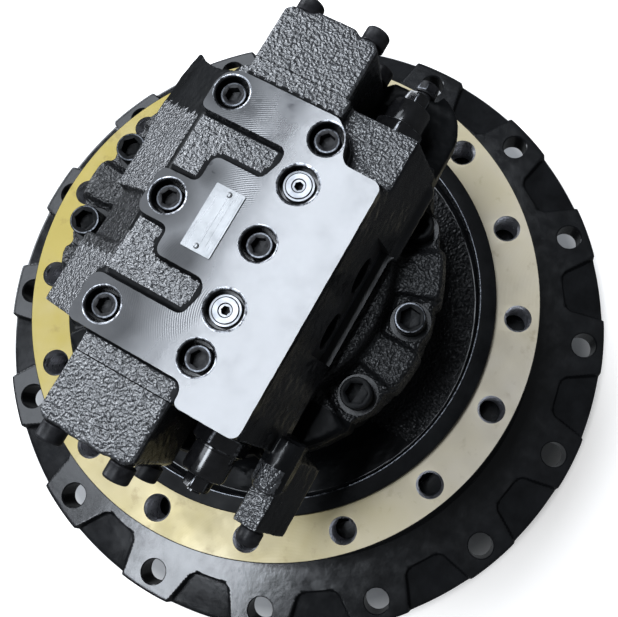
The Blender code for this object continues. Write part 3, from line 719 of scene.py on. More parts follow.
profile = fillet([
    (236, 345, 2.0, 0), (236, 300, 5.0, 0), (249, 297, 1.5, 0), (250, Z_FLANGE, 1.2, 1),
    (279, Z_FLANGE, 0, 2), (292, Z_FLANGE, 0, 2), (319, Z_FLANGE, 2.2, 2), (319, 257, 3.0, 0), (262, 257, 10.0, 0), (248, 240, 22.0, 0), (246, 192, 14.0, 0), (252, 182, 5.0, 0),
    (252, 152.3, 1.2, 0), (216, 152.3, 0, 0), (216, 178, 0, 0), (205.6, 180, 0, 0), (205.6, 222, 0, 0), (198, 222, 0, 0), (198, 262, 0, 0), (205.6, 262, 0, 0),
    (205.6, 304, 0, 0), (214, 306, 0, 0), (214, 345, 1.5, 0)])
fine = []
for i, p in enumerate(profile):
    q = profile[(i + 1) % len(profile)]
    fine.append(p)
    gap = math.hypot(q[0] - p[0], q[1] - p[1])
    top = p[1] > 282 and q[1] > 282 and p[0] > 250 and q[0] > 250
    k = int(gap / (0.9 if top and 278 < p[0] < 291.9 else 1.8)) if top and q[0] > 279.5 else int(gap / 12)
    for j in range(1, k + 1):
        t = j / (k + 1)
        fine.append((p[0] + (q[0] - p[0]) * t, p[1] + (q[1] - p[1]) * t, p[2]))
sector = np.concatenate([np.arange(-11.25, -7.6, 0.73), np.arange(-7.6, -3.4, 0.21), np.arange(-3.4, 3.4, 0.76), np.arange(3.4, 7.6, 0.21), np.arange(7.6, 11.24, 0.73)])
angles = np.concatenate([sector + 11.25 + 22.5 * k for k in range(N_HOLES)])
housing = lathe("sprocket_housing_casting", fine, [WALL, LUG, LUG, POCKET, GLOSS], angles=angles, warp=housing_warp)
# faces in the pockets take the rough finish
me = housing.data
n = len(me.polygons)
c = np.zeros(n * 3, np.float32)
me.polygons.foreach_get("center", c)
c = c.reshape(-1, 3) / MM
mi = np.zeros(n, np.int32)
me.polygons.foreach_get("material_index", mi)
phi = (np.degrees(np.arctan2(c[:, 1], c[:, 0])) % 22.5) - 11.25
_, dist = pocket_depth(np.hypot(c[:, 0], c[:, 1]), phi)
mi[(mi == 2) & (dist < -0.2)] = 3
mi[(mi == 2)] = 1
me.polygons.foreach_set("material_index", mi)
holes = [cyl("h", at(300 * math.cos(TURN * k / 16), 300 * math.sin(TURN * k / 16), 0, turn=5.0), [(12.5, 240), (12.5, 284.0), (13.6, 285.05), (13.6, 300)], [GLOSS], 48) for k in range(16)]
cut(housing, merged("holes", holes))
shade(housing, 32)
wear(housing, "case", "black_paint", "sprocket_housing", "sprocket_ring")

# ring gear with its teeth, turned outside
M_, N_RING = 6.0, 69
ring_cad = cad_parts["ring_gear"]
rc = np.array([v.co for v in ring_cad.data.vertices]) / MM
rr = np.hypot(rc[:, 0], rc[:, 1])
teeth = rc[(rr < 225) & (rc[:, 2] > 88)]
order = np.argsort(np.arctan2(teeth[:, 1], teeth[:, 0]))
teeth = teeth[order][:, :2]
keep = [0] + [i for i in range(1, len(teeth)) if np.hypot(*(teeth[i] - teeth[i - 1])) > 0.05]
teeth = [tuple(float(q) for q in teeth[i]) for i in keep]
circle = [(252 * math.cos(TURN * k / 192), 252 * math.sin(TURN * k / 192)) for k in range(192)]
ring = outline_solid("ring_gear_machined", [circle, teeth], 24.3, 151.7, [GLOSS, STEEL])
for p in ring.data.polygons:
    cx = p.center / MM
    if math.hypot(cx.x, cx.y) < 230 and abs(p.normal.z) < 0.5:
        p.material_index = 1
shade(ring, 30)
wear(ring, "case", "black_paint", "ring_gear")
# two parting grooves and a chamfered band mark the joints of the case
for nm, z in (("joint_line_lower", 24.15), ("joint_line_upper", 152.0)):
    g = lathe(nm, fillet([(252.1, z - 0.9, 0.4, 0), (252.6, z - 0.5, 0.3, 0), (252.6, z + 0.5, 0.3, 0), (252.1, z + 0.9, 0.4, 0), (250.5, z + 0.6, 0, 0), (250.5, z - 0.6, 0, 0)]), [RUBBER], 192)
    shade(g, 40)
    wear(g, "case", "seal_rubber")

# gear cover
path = fillet([(0, 20, 0, 0), (203, 20, 0, 0), (206, 24, 0, 0), (252, 24, 1.0, 0), (252, 13, 2.0, 0), (212, 13, 3.0, 0), (206, 5.5, 5.0, 0), (165, 4.2, 5.0, 0), (152, 0, 4.0, 0), (0, 0, 0, 0)], closed=False)
path = divide(path, 9, closed=False)
cover = lathe("gear_cover_casting", path, [CAST_SHADED, GLOSS, PLATED], 192, closed=False)
plug_at = [(0.0, 186.0), (0.0, -186.0)]
for x, y in plug_at:
    cut(cover, cyl("c", at(x, y, 0), [(17.5, -5), (17.5, 9.5)], [GLOSS], 64))
    cut(cover, cyl("c", at(x, y, 0), [(11.4, 5), (11.4, 23)], [GLOSS], 48))
shade(cover, 32)
tidy(cover)
wear(cover, "case", "black_paint", "gear_cover")
for label, (x, y) in zip(("level_plug", "drain_plug"), plug_at):
    rings = [("c", 0, 22, 0), ("c", 10.2, 22, 0), ("c", 11, 21, 0), ("c", 11, 9.3, 0), ("c", 16.2, 9.3, 0), ("c", 16.5, 9.0, 0), ("c", 16.5, 7.4, 0), ("c", 15.2, 7.2, 0), ("c", 15.2, 6.8, 0),
             ("c", 16.5, 6.6, 0), ("c", 16.5, 2.0, 0), ("c", 15.4, 0.8, 0), ("c", 9.6, 0.8, 0), ("b", (14, 8.6), 1.6, 0), ("h", 14, 2.4, 0), ("h", 14, 8.0, 0), ("c", 0, 9.2, 0)]
    p = moved(stack(label + "_detailed", rings, [PLATED], 72), at(x, y, 0))
    shade(p, 28)
    wear(p, "case", "plated_steel", label)
bolts = []
for k in range(24):
    a = TURN * (k + 0.5) / 24
    bolts.append(cap_screw("b", 12, 18, 11.6, 8, 10, at(232 * math.cos(a), 232 * math.sin(a), 12.7, "-Z"), 48))
ring_bolts = merged("gear_cover_screws", bolts)
shade(ring_bolts, 28)
wear(ring_bolts, "case", "black_oxide")

# ------------------------------------------------------------------ hub and frame flange
# the spigot's inner edge (tag 3) takes the edge metal, a painted highlight
hub_path = fillet([
    (115, Z_CASE, 0, 0), (147, Z_CASE, 1.5, 0), (148, 448, 6.0, 0), (139, 436, 10.0, 0), (140, 392, 26.0, 0), (158, 372, 16.0, 0), (R_IN := 184.4, 370.6, 3.0, 1),
    (R_IN, Z_SPIGOT, 0.8, 3), (185.5, Z_SPIGOT + 0.0, 0.0, 4), (199.2, Z_SPIGOT, 0.8, 4), (200, Z_FRAME + 0.0, 0.5, 2), (239.0, Z_FRAME, 0.0, 1), (240, Z_FRAME - 1.0, 0.0, 1), (240, 350, 1.5, 1), (172, 350, 0, 1),
    (172, 303.5, 0, 1), (155, 303.5, 0, 1), (155, 184, 0, 1), (100.6, 184, 0, 1), (100.6, 206, 0, 1), (62, 206, 0, 1), (62, 306, 0, 1), (36, 306, 0, 1), (36, 312, 0, 1), (52.6, 312, 0, 1),
    (52.6, 334.3, 0, 1), (44, 334.3, 0, 1), (44, 345, 0, 1), (115, 345, 0, 1)])
hub_path = divide(hub_path, 4.0, tags=(0,))


def hub_warp(v):
    r = np.hypot(v[:, 0], v[:, 1])
    a = np.arctan2(v[:, 1], v[:, 0])
    z = v[:, 2]
    cast_zone = (r > 136) & (r < 181) & (z > 370) & (z < 462)
    un = 0.5 * np.sin(a * 23 + z * 0.31) * np.sin(z * 0.23 + a * 9) + 0.35 * np.sin(a * 61 + r * 0.8) + 0.3 * np.sin(a * 37 - r * 1.1)
    k = np.where(cast_zone, un, 0.0)
    f = (r + k * (z > 378)) / np.maximum(r, 1e-9)
    return np.stack([v[:, 0] * f, v[:, 1] * f, z + k * (z <= 378)], 1)


hub = lathe("hub_casing_casting", hub_path, [CAST_SHADED, GLOSS, GOLD, RIM2, SATIN_AND_SHADE], 320, warp=hub_warp)
thread = [(11.2, 340), (11.2, 345)]
z = 345.0
while z < 384.0:
    thread += [(10.6, z + 0.2), (11.9, z + 1.5), (11.9, z + 1.8), (10.6, z + 3.0)]
    z += 3.0
thread += [(11.2, 384.8), (12.4, Z_FRAME), (12.4, Z_FRAME + 4)]
holes = [cyl("h", at(220 * math.cos(TURN * k / 16), 220 * math.sin(TURN * k / 16), 0, turn=3.0), thread, [STEEL], 40) for k in range(16)]
cut(hub, merged("holes", holes))
# painted shade: the hub's cast faces towards -Y, under the valve block's lower side, take the dark satin paint
for p in hub.data.polygons:
    if p.material_index == 0 and p.center.y < -0.06:
        p.material_index = 4
shade(hub, 32)
wear(hub, "hub", "black_paint", "hub_casing", "motor_casing")

# ------------------------------------------------------------------ rear flange
CASE_BOLTS = [164.8, 194.3, 7.9]
MORE_BOLTS = [39.3, 70.7, 102.0, 133.4, 222.0, 247.0, 271.0, 295.0, 338.4]
ALL_BOLTS = sorted(a % 360 for a in CASE_BOLTS + MORE_BOLTS)
outline, pads = [], []
for i, a in enumerate(ALL_BOLTS):
    gap = (ALL_BOLTS[(i + 1) % 12] - a) % 360
    lobe = 7.0
    for da in (-6.4, -4.6, -2.4, 0, 2.4, 4.6, 6.4):
        q = math.radians(a + da)
        r_ = 144.8 + 4.4 * math.cos(math.radians(da / 6.4 * 75))
        outline.append((r_ * math.cos(q), r_ * math.sin(q)))
    b0, b1 = a + lobe + 1.4, a + gap - lobe - 1.4
    for t in range(4):
        q = math.radians(b0 + (b1 - b0) * t / 3)
        outline.append((151.5 * math.cos(q), 151.5 * math.sin(q)))
    if gap > 20:
        pads.append((a + gap / 2, gap / 2 - 7.6))
solids = [outline_solid("flange", [outline], Z_CASE + 0.3, Z_SPOT + 1.2)]
solids.append(cyl("neck", at(0, 0, 0), [(118, 470), (117, 498), (113, 518), (112, 522)], [], 96))
for mid, half in pads:
    hp = [(r_ * math.cos(math.radians(mid + s * half * k)), r_ * math.sin(math.radians(mid + s * half * k))) for r_, s, k in
          ((106, -1, 1), (149.5, -1, 0.92), (150.5, -1, 0.4), (150.5, 1, 0.4), (149.5, 1, 0.92), (106, 1, 1))]
    solids.append(loft("pad", grow(hp, 0.8), 496, grow(hp, -1.2), 506.5))
rear = merged("rear_flange_casting", solids, [CAST_REAR_SHADED, GLOSS, SATIN_AND_SHADE])
cast(rear, 1.9, 3, 0.7, 6)
spots = [cyl("s", at(133 * math.cos(math.radians(a)), 133 * math.sin(math.radians(a)), 0), [(15.6, Z_SPOT), (15.6, Z_SPOT + 1.2), (16.1, Z_SPOT + 1.8), (16.1, 530)], [WALL], 56) for a in ALL_BOLTS]
cut(rear, merged("spots", spots))
# painted shade: the rear flange's cast faces towards -Y, under the valve block, take the dark satin paint
for p in rear.data.polygons:
    if p.material_index == 0 and p.center.y < -0.07:
        p.material_index = 2
shade(rear, 45)
plane(rear)
tidy(rear)
wear(rear, "hub", "black_paint", "rear_flange")
for i, a in enumerate(CASE_BOLTS):
    q = math.radians(a)
    o = cap_screw("case_bolt_%d_detailed" % (i + 1), 16, 24, 15.7, 58, 14, at(133 * math.cos(q), 133 * math.sin(q), Z_SPOT, turn=a * 3), edge=RIM2, skin=SATIN_AND_SHADE)
    wear(o, "hub", "black_oxide", "case_bolt_%d" % (i + 1))
bolts = []
for a in MORE_BOLTS:
    q = math.radians(a)
    bolts.append(cap_screw("b", 16, 24, 15.7, 4, 14, at(133 * math.cos(q), 133 * math.sin(q), Z_SPOT, turn=a * 3), edge=RIM2, skin=SATIN_AND_SHADE))
more = merged("case_bolts_more", bolts)
shade(more, 28)
wear(more, "hub", "black_oxide")

# ------------------------------------------------------------------ valve block
SIDE = [(-98, 522.3), (-100.2, 545), (-100.2, 556.4), (-47, Z_CAST), (86.5, Z_CAST), (88.5, 585), (101, 535), (99, 526), (95, 522.3)]
PLATE = ([(85.5, -112), (85.5, 70.5), (58, 71.2), (53.4, 75.5), (50.5, 84.5), (47, 91), (38.6, 97.6), (-36, 97.6), (-44, 92), (-47, 85), (-47, 66.5),
          (-43.5, 64.5), (16.4, 64.5), (20.2, 61), (20.4, 53.3), (15.6, 40), (12, 38.3), (-20.6, 38.3), (-20.6, 17), (-46, 16.5), (-48, 11), (-48, -11),
          (-45, -15.8), (-22, -15.8), (-21.5, -31), (-19, -34.8), (14, -35), (19.4, -40), (20, -46), (16.6, -60), (12.5, -62.8), (-46, -62.8), (-50, -67), (-50, -96.6),
          (33.5, -96.8), (38.5, -99), (40.4, -104), (40.4, -112)])


def upright(name, pts, y0, y1):
    """An XZ outline given a length along Y."""
    o = outline_solid(name, [[(x, -z) for x, z in pts]], y0, y1)
    return moved(o, AXIS["Y"])


def slab(name, lo, hi):
    x0, y0, z0 = lo
    x1, y1, z1 = hi
    return outline_solid(name, [[(x0, y0), (x1, y0), (x1, y1), (x0, y1)]], z0, z1)


def tilted_cut(a, b, c, high):
    """A thick triangle-based slab that lies on the plane through three points, above it."""
    a, b, c = (Vector(p) for p in (a, b, c))
    n = (b - a).cross(c - a).normalized()
    if n.z < 0:
        n = -n
    u = (b - a).normalized()
    v = n.cross(u)
    if v.dot(c - a) < 0:
        v = -v
    base = [a - u * 12, a + u * 90, a + u * 90 + v * 80, a - u * 12 + v * 80]
    pts = [tuple(p) for p in base] + [tuple(p + n * high) for p in base]
    return mesh("tilted", pts, [(0, 1, 2, 3), (7, 6, 5, 4), (0, 4, 5, 1), (1, 5, 6, 2), (2, 6, 7, 3), (3, 7, 4, 0)])


plate_round = [(x, y) for x, y, _ in fillet([(x, y, 5.5, 0) for x, y in PLATE], step=18)]
body = upright("valve_block_body", SIDE, -112, 115)
p0, p1 = (-48.5, 593.2), (-97.0, 546.6)
dip = mesh("dip", [(x, y, z) for y in (-41, -2) for x, z in (p0, p1, (p1[0] - 10, p1[1] + 60), (p0[0], p0[1] + 60))], [(0, 1, 2, 3), (7, 6, 5, 4), (0, 4, 5, 1), (1, 5, 6, 2), (2, 6, 7, 3), (3, 7, 4, 0)])
for tool in (
    outline_solid("cu", [[(57.5, 73.5), (100, 73.5), (100, 125), (37.5, 125), (37.5, 99), (48, 93), (54, 85)]], 585, 640),
    slab("cl", (-130, -130, 500), (-37.4, -97.3, 640)),
    slab("cr", (37.4, -130, 534.2), (130, -112.6, 640)),
    outline_solid("ul", [[(-94, -125), (-94, 34), (-96.5, 42), (-99.5, 52), (-100.1, 75), (-99.5, 92), (-97, 105), (-93.6, 113.4), (-83.6, 107.2), (-70, 102), (-57.6, 99.7),
                          (-37, 98.2), (-37, 140), (-125, 140), (-125, -125)]], 500, 640),
    tilted_cut((-52, 60, 591.6), (-99, 70, 556.0), (-92, 111, 560.5), 60),
    dip,
):
    e = body.modifiers.new("b", "BOOLEAN")
    e.operation = "DIFFERENCE"
    e.object = tool
    e.solver = "EXACT"
    settle(body)
    drop(tool)
parts = [body]
for lo, hi in (((-36, 100, 524), (36, 120.5, Z_CAST)), ((-36, -117.5, 524), (36, -100, Z_CAST))):
    parts.append(slab("stock", lo, hi))
parts.append(outline_solid("shoulder", [[(-49, 92), (-49, 103), (-45, 108.5), (-36, 113), (-30, 113), (-30, 92)]], 540, 588))
parts.append(loft("plinth_low", grow(plate_round, 1.5), 590, grow(plate_round, 0.6), 597.5))
parts.append(loft("plinth", grow(plate_round, 0.9), 597.0, grow(plate_round, 0.35), 606))
lobe_u = [(44, 106), (101, 106), (100.6, 130)] + [(61.5 + 38.8 * math.cos(math.radians(a)), 142.5 + 38.8 * math.sin(math.radians(a))) for a in range(0, 73, 8)] + [(71.5, 172), (50, 172), (44, 166)]
lobe = outline_solid("lobe_u", [lobe_u], 518.0, 533.6)
for v in lobe.data.vertices:
    if v.co.z > 0.53:
        v.co.z -= max(0.0, v.co.y - 0.112) * 0.13
parts.append(lobe)
parts.append(slab("lobe_drop", (50, 146, 515), (71.5, 172, 524)))
parts.append(outline_solid("lobe_disc", [[(61.5 + 38.8 * math.cos(math.radians(a)), min(172.0, 142.5 + 38.8 * math.sin(math.radians(a)))) for a in range(0, 360, 8)]], 517.5, 526.8))
low_a = [(93, -165.5), (112, -165.5), (112, -112), (100, -98), (84, -98), (84, -112), (93, -118)]
low_b = [(94, -167.5), (125.5, -167.5), (125.5, -112), (100, -96), (84, -96), (84, -112), (94, -118)]
parts.append(loft("lobe_l", grow(low_b, 0.0), 490, grow(low_a, 0.0), 533.6))
parts.append(cyl("lobe_boss", at(105, -100, 542, "-Y"), [(10.5, 0), (10.5, 36), (8.5, 38)], [], 40))
parts.append(outline_solid("lobe_web", [[(92, -134), (116, -134), (116, -98), (92, -98)]], 528, 545))
parts.append(cyl("bead", at(99.5, 46, 530.5, "Y"), [(4, 0), (6, 2), (6, 58), (4, 62)], [], 40))
parts.append(outline_solid("rib", [[(60, 100), (98, 100), (98, 120), (60, 120)]], 523, 540))
block = merged("valve_block_casting", parts, [CAST, MILLED, WALL, GLOSS, RIM2, CAST_SHADED, SATIN_AND_SHADE])
cast(block, 1.45, 4, 0.55, 5)

# the milled faces and bores are cut into the casting
big = slab("mill_top", (-200, -200, Z_TOP), (200, 200, 660))
big.data.materials.append(MILLED)
cut(block, big)
for lo, hi, mt in (((92.5, -43, 535), (140, 48, 612), PORT), ((92.3, -36, 534.7), (93.7, 47, 540), MILLED)):
    port = slab("mill_port", lo, hi)
    port.data.materials.append(mt)
    cut(block, port)
for y0, y1 in ((-130, -112.2), (115.1, 130)):
    t = slab("mill_end", (-36.6, y0, 523), (36.6, y1, 640))
    t.data.materials.append(GLOSS)
    cut(block, t)
COVER_BOLTS = [(-33.5, 81.9), (38.5, 81.9), (-34.0, 0.8), (35.0, 0.6), (-33.1, -79.8), (38.1, -80.3)]
SOCKET_PLUGS = [(37.8, 46.5), (37.8, -46.0)]
tools = []
# the top chamfers of the counterbores take the bright rim metal: a painted highlight on their edges
for x, y in COVER_BOLTS:
    tools.append(cyl("c", at(x, y, 0), [(6.7, 546), (6.7, 587.8), (11.3, 587.8), (11.3, 602.0), (12.0, 602.78, 1), (13.3, 603.03), (13.3, 610)], [GLOSS, RIM], 64))
for x, y in SOCKET_PLUGS:
    tools.append(cyl("c", at(x, y, 0), [(10.6, 576), (10.6, 596.6), (12.5, 596.6), (12.5, 602.1), (13.2, 602.72, 1), (15.0, 603.03), (15.0, 610)], [GLOSS, RIM], 72))
tools.append(cyl("c", at(0, 0, 560, "Y"), [(17.3, -130), (17.3, 130)], [STEEL], 48))
for s in (-1, 1):
    tools.append(cyl("c", at(0, s * 22.0, 552, "X"), [(13.0, 60), (13.0, 91.5), (14.2, 92.6), (14.2, 110)], [GLOSS], 48))
tools.append(cyl("c", at(65, 84, 553, "Y"), [(12.4, 0), (12.4, 36)], [GLOSS], 40))
tools.append(cyl("c", at(65, -84, 553, "-Y"), [(12.4, 0), (12.4, 36)], [GLOSS], 40))
for t in tools:
    cut(block, t)

# walls and steep faces are smooth, the pocket floors and flanks rough
me = block.data
n = len(me.polygons)
c = np.zeros(n * 3, np.float32)
nr = np.zeros(n * 3, np.float32)
mi = np.zeros(n, np.int32)
me.polygons.foreach_get("center", c)
me.polygons.foreach_get("normal", nr)
me.polygons.foreach_get("material_index", mi)
c, nr = c.reshape(-1, 3) / MM, nr.reshape(-1, 3)
names = [x.name if x else "" for x in me.materials]
i_cast, i_wall = names.index(CAST.name), names.index(WALL.name)
rough_zone = (nr[:, 2] > 0.45)
smooth_zone = (mi == i_cast) & ~rough_zone
smooth_zone |= (mi == i_cast) & (c[:, 0] > 87)
facet = (mi == i_cast) & (c[:, 1] > 61 + np.clip(-54 - c[:, 0], 0, 40) * 0.2 + 2.5 * np.sin(c[:, 0] * 0.9) * np.sin(c[:, 0] * 0.37 + 1)) & (c[:, 0] < -46) & (c[:, 2] < 594.5)
smooth_zone |= (mi == i_cast) & (c[:, 1] < -100) & (c[:, 2] > 536) & (c[:, 2] < 580) & (c[:, 0] > 60)
mi[smooth_zone] = i_wall
# painted shade: the facet at the upper left of the flank and the low faces on the +Y side, under the upper relief
# valve, take the dark satin paint
mi[facet] = names.index(SATIN_AND_SHADE.name)
mi[(c[:, 1] > 108) & (c[:, 2] < 538)] = names.index(SATIN_AND_SHADE.name)
mi[(c[:, 1] > 47) & (c[:, 1] < 108) & (c[:, 0] > 95) & (c[:, 2] < 538)] = names.index(GLOSS.name)
mi[(c[:, 1] < -119) & (c[:, 0] > 86) & (nr[:, 2] > 0.6) & (c[:, 0] < 113)] = i_cast
mi[(c[:, 1] < -119) & (c[:, 0] > 113)] = i_wall
# painted shade: a dark band on the pocket floors along the plate's wall, wider on its -X and +Y sides, and a dark line
# in the valley beside the flank, both in the dark satin paint where shade falls
loop = np.array(plate_round + plate_round[:1])
near = np.full(n, 1e9)
for a0, a1 in zip(loop[:-1], loop[1:]):
    d = a1 - a0
    for shift, less in (((0.0, 0.0), 0.9), ((3.4, -1.6), 0.0)):
        w = c[:, :2] + shift - a0
        t = np.clip((w @ d) / max(float(d @ d), 1e-9), 0, 1)
        near = np.minimum(near, np.hypot(*(w - t[:, None] * d).T) + less)
mi[(mi == i_cast) & (c[:, 2] > 588) & (c[:, 2] < 600.5) & (near < 3.9 + 0.7 * np.sin(c[:, 0] * 0.7) * np.sin(c[:, 1] * 0.55 + 1))] = names.index(SATIN_AND_SHADE.name)
mi[(mi == i_cast) & (np.abs(c[:, 0] + 49.5) < 2.3) & (c[:, 1] > -30) & (c[:, 1] < 70)] = names.index(SATIN_AND_SHADE.name)
# painted shade: the dip in the left flank takes the darkened cast copy
mi[(mi == i_cast) & (c[:, 0] < -50) & (c[:, 1] > -50 + 2 * np.sin(c[:, 0] * 0.8)) & (c[:, 1] < -1)] = names.index(CAST_SHADED.name)
me.polygons.foreach_set("material_index", mi)
shade(block, 38)
plane(block)
tidy(block)
wear(block, "hub", "black_paint", "valve_block")

for i, (x, y) in enumerate(COVER_BOLTS):
    o = cap_screw("cover_bolt_%d_detailed" % (i + 1), 12, 18, 12, 38, 10, at(x, y, 587.9, turn=17 * i), edge=RIM2)
    wear(o, "hub", "black_oxide", "cover_bolt_%d" % (i + 1))
for i, (x, y) in enumerate(SOCKET_PLUGS):
    rings = [("c", 0, 578, 0), ("c", 10, 578, 0), ("c", 10, 596.7, 0), ("c", 10.9, 596.9, 1), ("c", 10.9, 599.4, 0), ("c", 10.3, 600.2, 0), ("c", 9.1, 600.3, 1), ("c", 9.0, 599.5, 1), ("c", 8.4, 599.5, 1), ("c", 8.3, 600.9, 0), ("c", 5.0, 600.9, 1), ("c", 4.5, 600.4, 1), ("c", 4.2, 600.4, 0), ("b", (5.6, 3.5), 600.3, 0),
             ("h", 5.6, 599.8, 1), ("h", 5.6, 594.5, 1), ("c", 0, 593.4, 1)]
    o = moved(stack("socket_plug_%d_detailed" % (i + 1), rings, [PLUG, OXIDE], 72), at(x, y, 0, turn=11 + 30 * i))
    shade(o, 28)
    wear(o, "hub", "plated_steel", "socket_plug_%d" % (i + 1))

# nameplate: a thin plate with rounded corners, a raised blank border and two rivets
tag_loop = [(x, y) for x, y, _ in fillet([(-9.2, -23.0, 0.8, 0), (12.6, -23.0, 0.8, 0), (12.6, 23.4, 0.8, 0), (-9.2, 23.4, 0.8, 0)], step=30)]
tagp = outline_solid("nameplate_blank", [tag_loop], Z_TOP + 0.3, Z_TOP + 1.05, [TAG])
bm = bmesh.new()
bm.from_mesh(tagp.data)
bmesh.ops.triangulate(bm, faces=bm.faces)
bm.to_mesh(tagp.data)
bm.free()
extra = []
for x0, x1, y0, y1 in ((9.6, 11.4, -21, 21.4), (5.9, 6.3, -17, 17.4), (1.9, 2.3, -17, 17.4)):
    extra.append(slab("line", (x0, y0, Z_TOP + 1.0), (x1, y1, Z_TOP + 1.18)))
for y in (-19.2, 19.6):
    extra.append(cyl("rivet", at(2.4 if y > 0 else 0.8, y, Z_TOP), [(2.0, 1.0), (2.0, 1.25), (1.6, 1.75), (0.9, 2.0)], [TAG], 24))
tagp = merged("nameplate_blank", [tagp] + extra, [TAG])
shade(tagp, 35)
wear(tagp, "hub", "nameplate_metal", "nameplate")

# ------------------------------------------------------------------ end caps
for tag, s in (("upper", 1), ("lower", -1)):
    y0, y1 = (115.3, 160.3) if s > 0 else (112.7, 160.3)
    mid = 3.2 if s > 0 else 1.0
    shape = [(-38.2, y0 - 5), (36, y0 - 5), (36, y1 - 5), (31, y1), (19, y1), (14.5, y1 + mid), (-14.5, y1 + mid), (-19, y1), (-33, y1), (-38.2, y1 - 5)]
    shape = [(x, y) for x, y, _ in fillet([(x, y, 2.5, 0) for x, y in shape], step=20)]
    if s < 0:
        shape = [(x, -y) for x, y in shape]
    low = loft("cap_low", grow(shape, 0.0), 528.5, grow(shape, -0.1), 560)
    up = loft("cap_up", grow(shape, -0.1), 559, grow(shape, -0.6), Z_CAST - 1.6)
    crown = loft("cap_crown", grow(shape, -0.5), Z_CAST - 2.2, grow(shape, -2.2), Z_CAST + 0.2)
    cap = merged("end_cap_%s_casting" % tag, [low, up, crown], [CAST, WALL, GLOSS])
    cast(cap, 1.2, 3, 0.5, 4)
    t = slab("mill", (-50, 100, 500), (50, y0 + 0.2, 640)) if s > 0 else slab("mill", (-50, -y0 - 0.2, 500), (50, -100, 640))
    t.data.materials.append(GLOSS)
    cut(cap, t)
    along = "Y" if s > 0 else "-Y"
    cut(cap, cyl("c", at(0, 0, 560, along), [(15, 100), (15, 145)], [STEEL], 48))
    for x in (-26, 26):
        for z in ((584, 538) if x > 0 else (584,)):
            cut(cap, cyl("c", at(x, 0, z, along), [(6.7, 100), (6.7, 159.8), (10.2, 160.1), (10.2, 175)], [WALL], 40))
    me = cap.data
    for p in me.polygons:
        if p.material_index == 0 and p.normal.z < 0.5:
            p.material_index = 1
    shade(cap, 40)
    plane(cap)
    tidy(cap)
    wear(cap, "hub", "black_paint", "end_cap_" + tag)
    for i, x in enumerate((-26, 26)):
        o = cap_screw("cap_bolt_%s_%d_detailed" % (tag, i + 1), 12, 18, 11.4, 40, 10, at(x, s * 160.6, 584, along, turn=20 * i))
        wear(o, "hub", "black_oxide", "cap_bolt_%s_%d" % (tag, i + 1))
    low = merged("cap_bolts_%s_more" % tag, [cap_screw("b", 12, 18, 11.4, 3, 10, at(x, s * 160.6, 538, along, turn=9), 72) for x in (26,)])
    shade(low, 28)
    wear(low, "hub", "black_oxide")

# ------------------------------------------------------------------ relief valves and lobe plugs
# the relief valves' hex chamfers and hex corners take the bright rim metal: a painted highlight for the bright stripes
# along the hex, with some rubbed metal
for tag, s in (("upper", 1), ("lower", -1)):
    along = "Y" if s > 0 else "-Y"
    y0 = 115.3 if s > 0 else 112.9
    rings = [("c", 0, 88, 0), ("c", 12, 88, 0), ("c", 12, y0, 0), ("c", 17.0, y0, 0), ("c", 17.4, y0 + 0.6, 0), ("c", 17.4, y0 + 1.6, 0), ("b", (35.0, 17.8), y0 + 1.7, 0), ("b", (35.0, 19.2), y0 + 2.6, 1),
             ("b", (35.0, 19.8), y0 + 3.4, 0), ("b", (35.0, 19.8), y0 + 11.5, 0), ("b", (35.0, 19.0), y0 + 12.6, 1), ("b", (35.0, 17.2), y0 + 13.4, 0), ("c", 16.4, y0 + 13.5, 0), ("c", 16.4, y0 + 14.6, 0),
             ("c", 15.5, y0 + 15.2, 0), ("c", 15.5, 144.5, 0), ("c", 14.6, 146.6, 1), ("c", 13.0, 147.4, 0), ("c", 9.6, 147.4, 0), ("b", (17.0, 9.2), 147.6, 0), ("b", (17.0, 9.7), 148.4, 0), ("b", (17.0, 9.7), 155.5, 0),
             ("b", (17.0, 9.0), 156.8, 1), ("c", 7.6, 157.2, 0), ("c", 5.2, 157.2, 0), ("c", 5.2, 158.9, 0), ("c", 3.4, 159.0, 0), ("h", 5, 158.6, 0), ("h", 5, 155.0, 0), ("c", 0, 154.4, 0)]
    o = stack("relief_valve_%s_detailed" % tag, rings, [VALVE, RIM], 96, wear_glint=5)
    moved(o, at(65, 0, 553, along, turn=6))
    shade(o, 26)
    wear(o, "hub", "black_paint", "relief_valve_" + tag)
rings = [("c", 0, -3, 0), ("c", 6.5, -3, 0), ("c", 6.5, 0.2, 0), ("c", 8.4, 0.2, 0), ("c", 8.4, 1.4, 0), ("b", (15.2, 8.3), 1.6, 0), ("b", (15.2, 8.6), 2.2, 1), ("b", (15.2, 8.6), 3.0, 0), ("b", (15.2, 8.6), 8.2, 0),
         ("b", (15.2, 7.8), 9.4, 1), ("c", 7.0, 9.6, 0), ("c", 0, 9.6, 0)]
o = moved(stack("lobe_plug_upper_detailed", rings, [OXIDE, RIM2], 48, wear_glint=6), at(60.7, 172.3, 525.0, "Y", 4))
shade(o, 28)
wear(o, "hub", "black_oxide", "lobe_plug_upper")
rings = [("c", 0, -3, 0), ("c", 7.5, -3, 0), ("c", 7.5, 0.2, 0), ("c", 8.6, 0.2, 0), ("c", 9.0, 0.8, 0), ("c", 9.0, 7.5, 0), ("c", 8.4, 10.0, 0), ("c", 6.6, 11.8, 0), ("c", 3.5, 12.5, 0), ("c", 0, 12.6, 0)]
o = moved(stack("lobe_plug_lower_detailed", rings, [OXIDE, RIM], 56), at(106, -168.3, 512, "-Y"))
shade(o, 40)
wear(o, "hub", "black_oxide", "lobe_plug_lower")

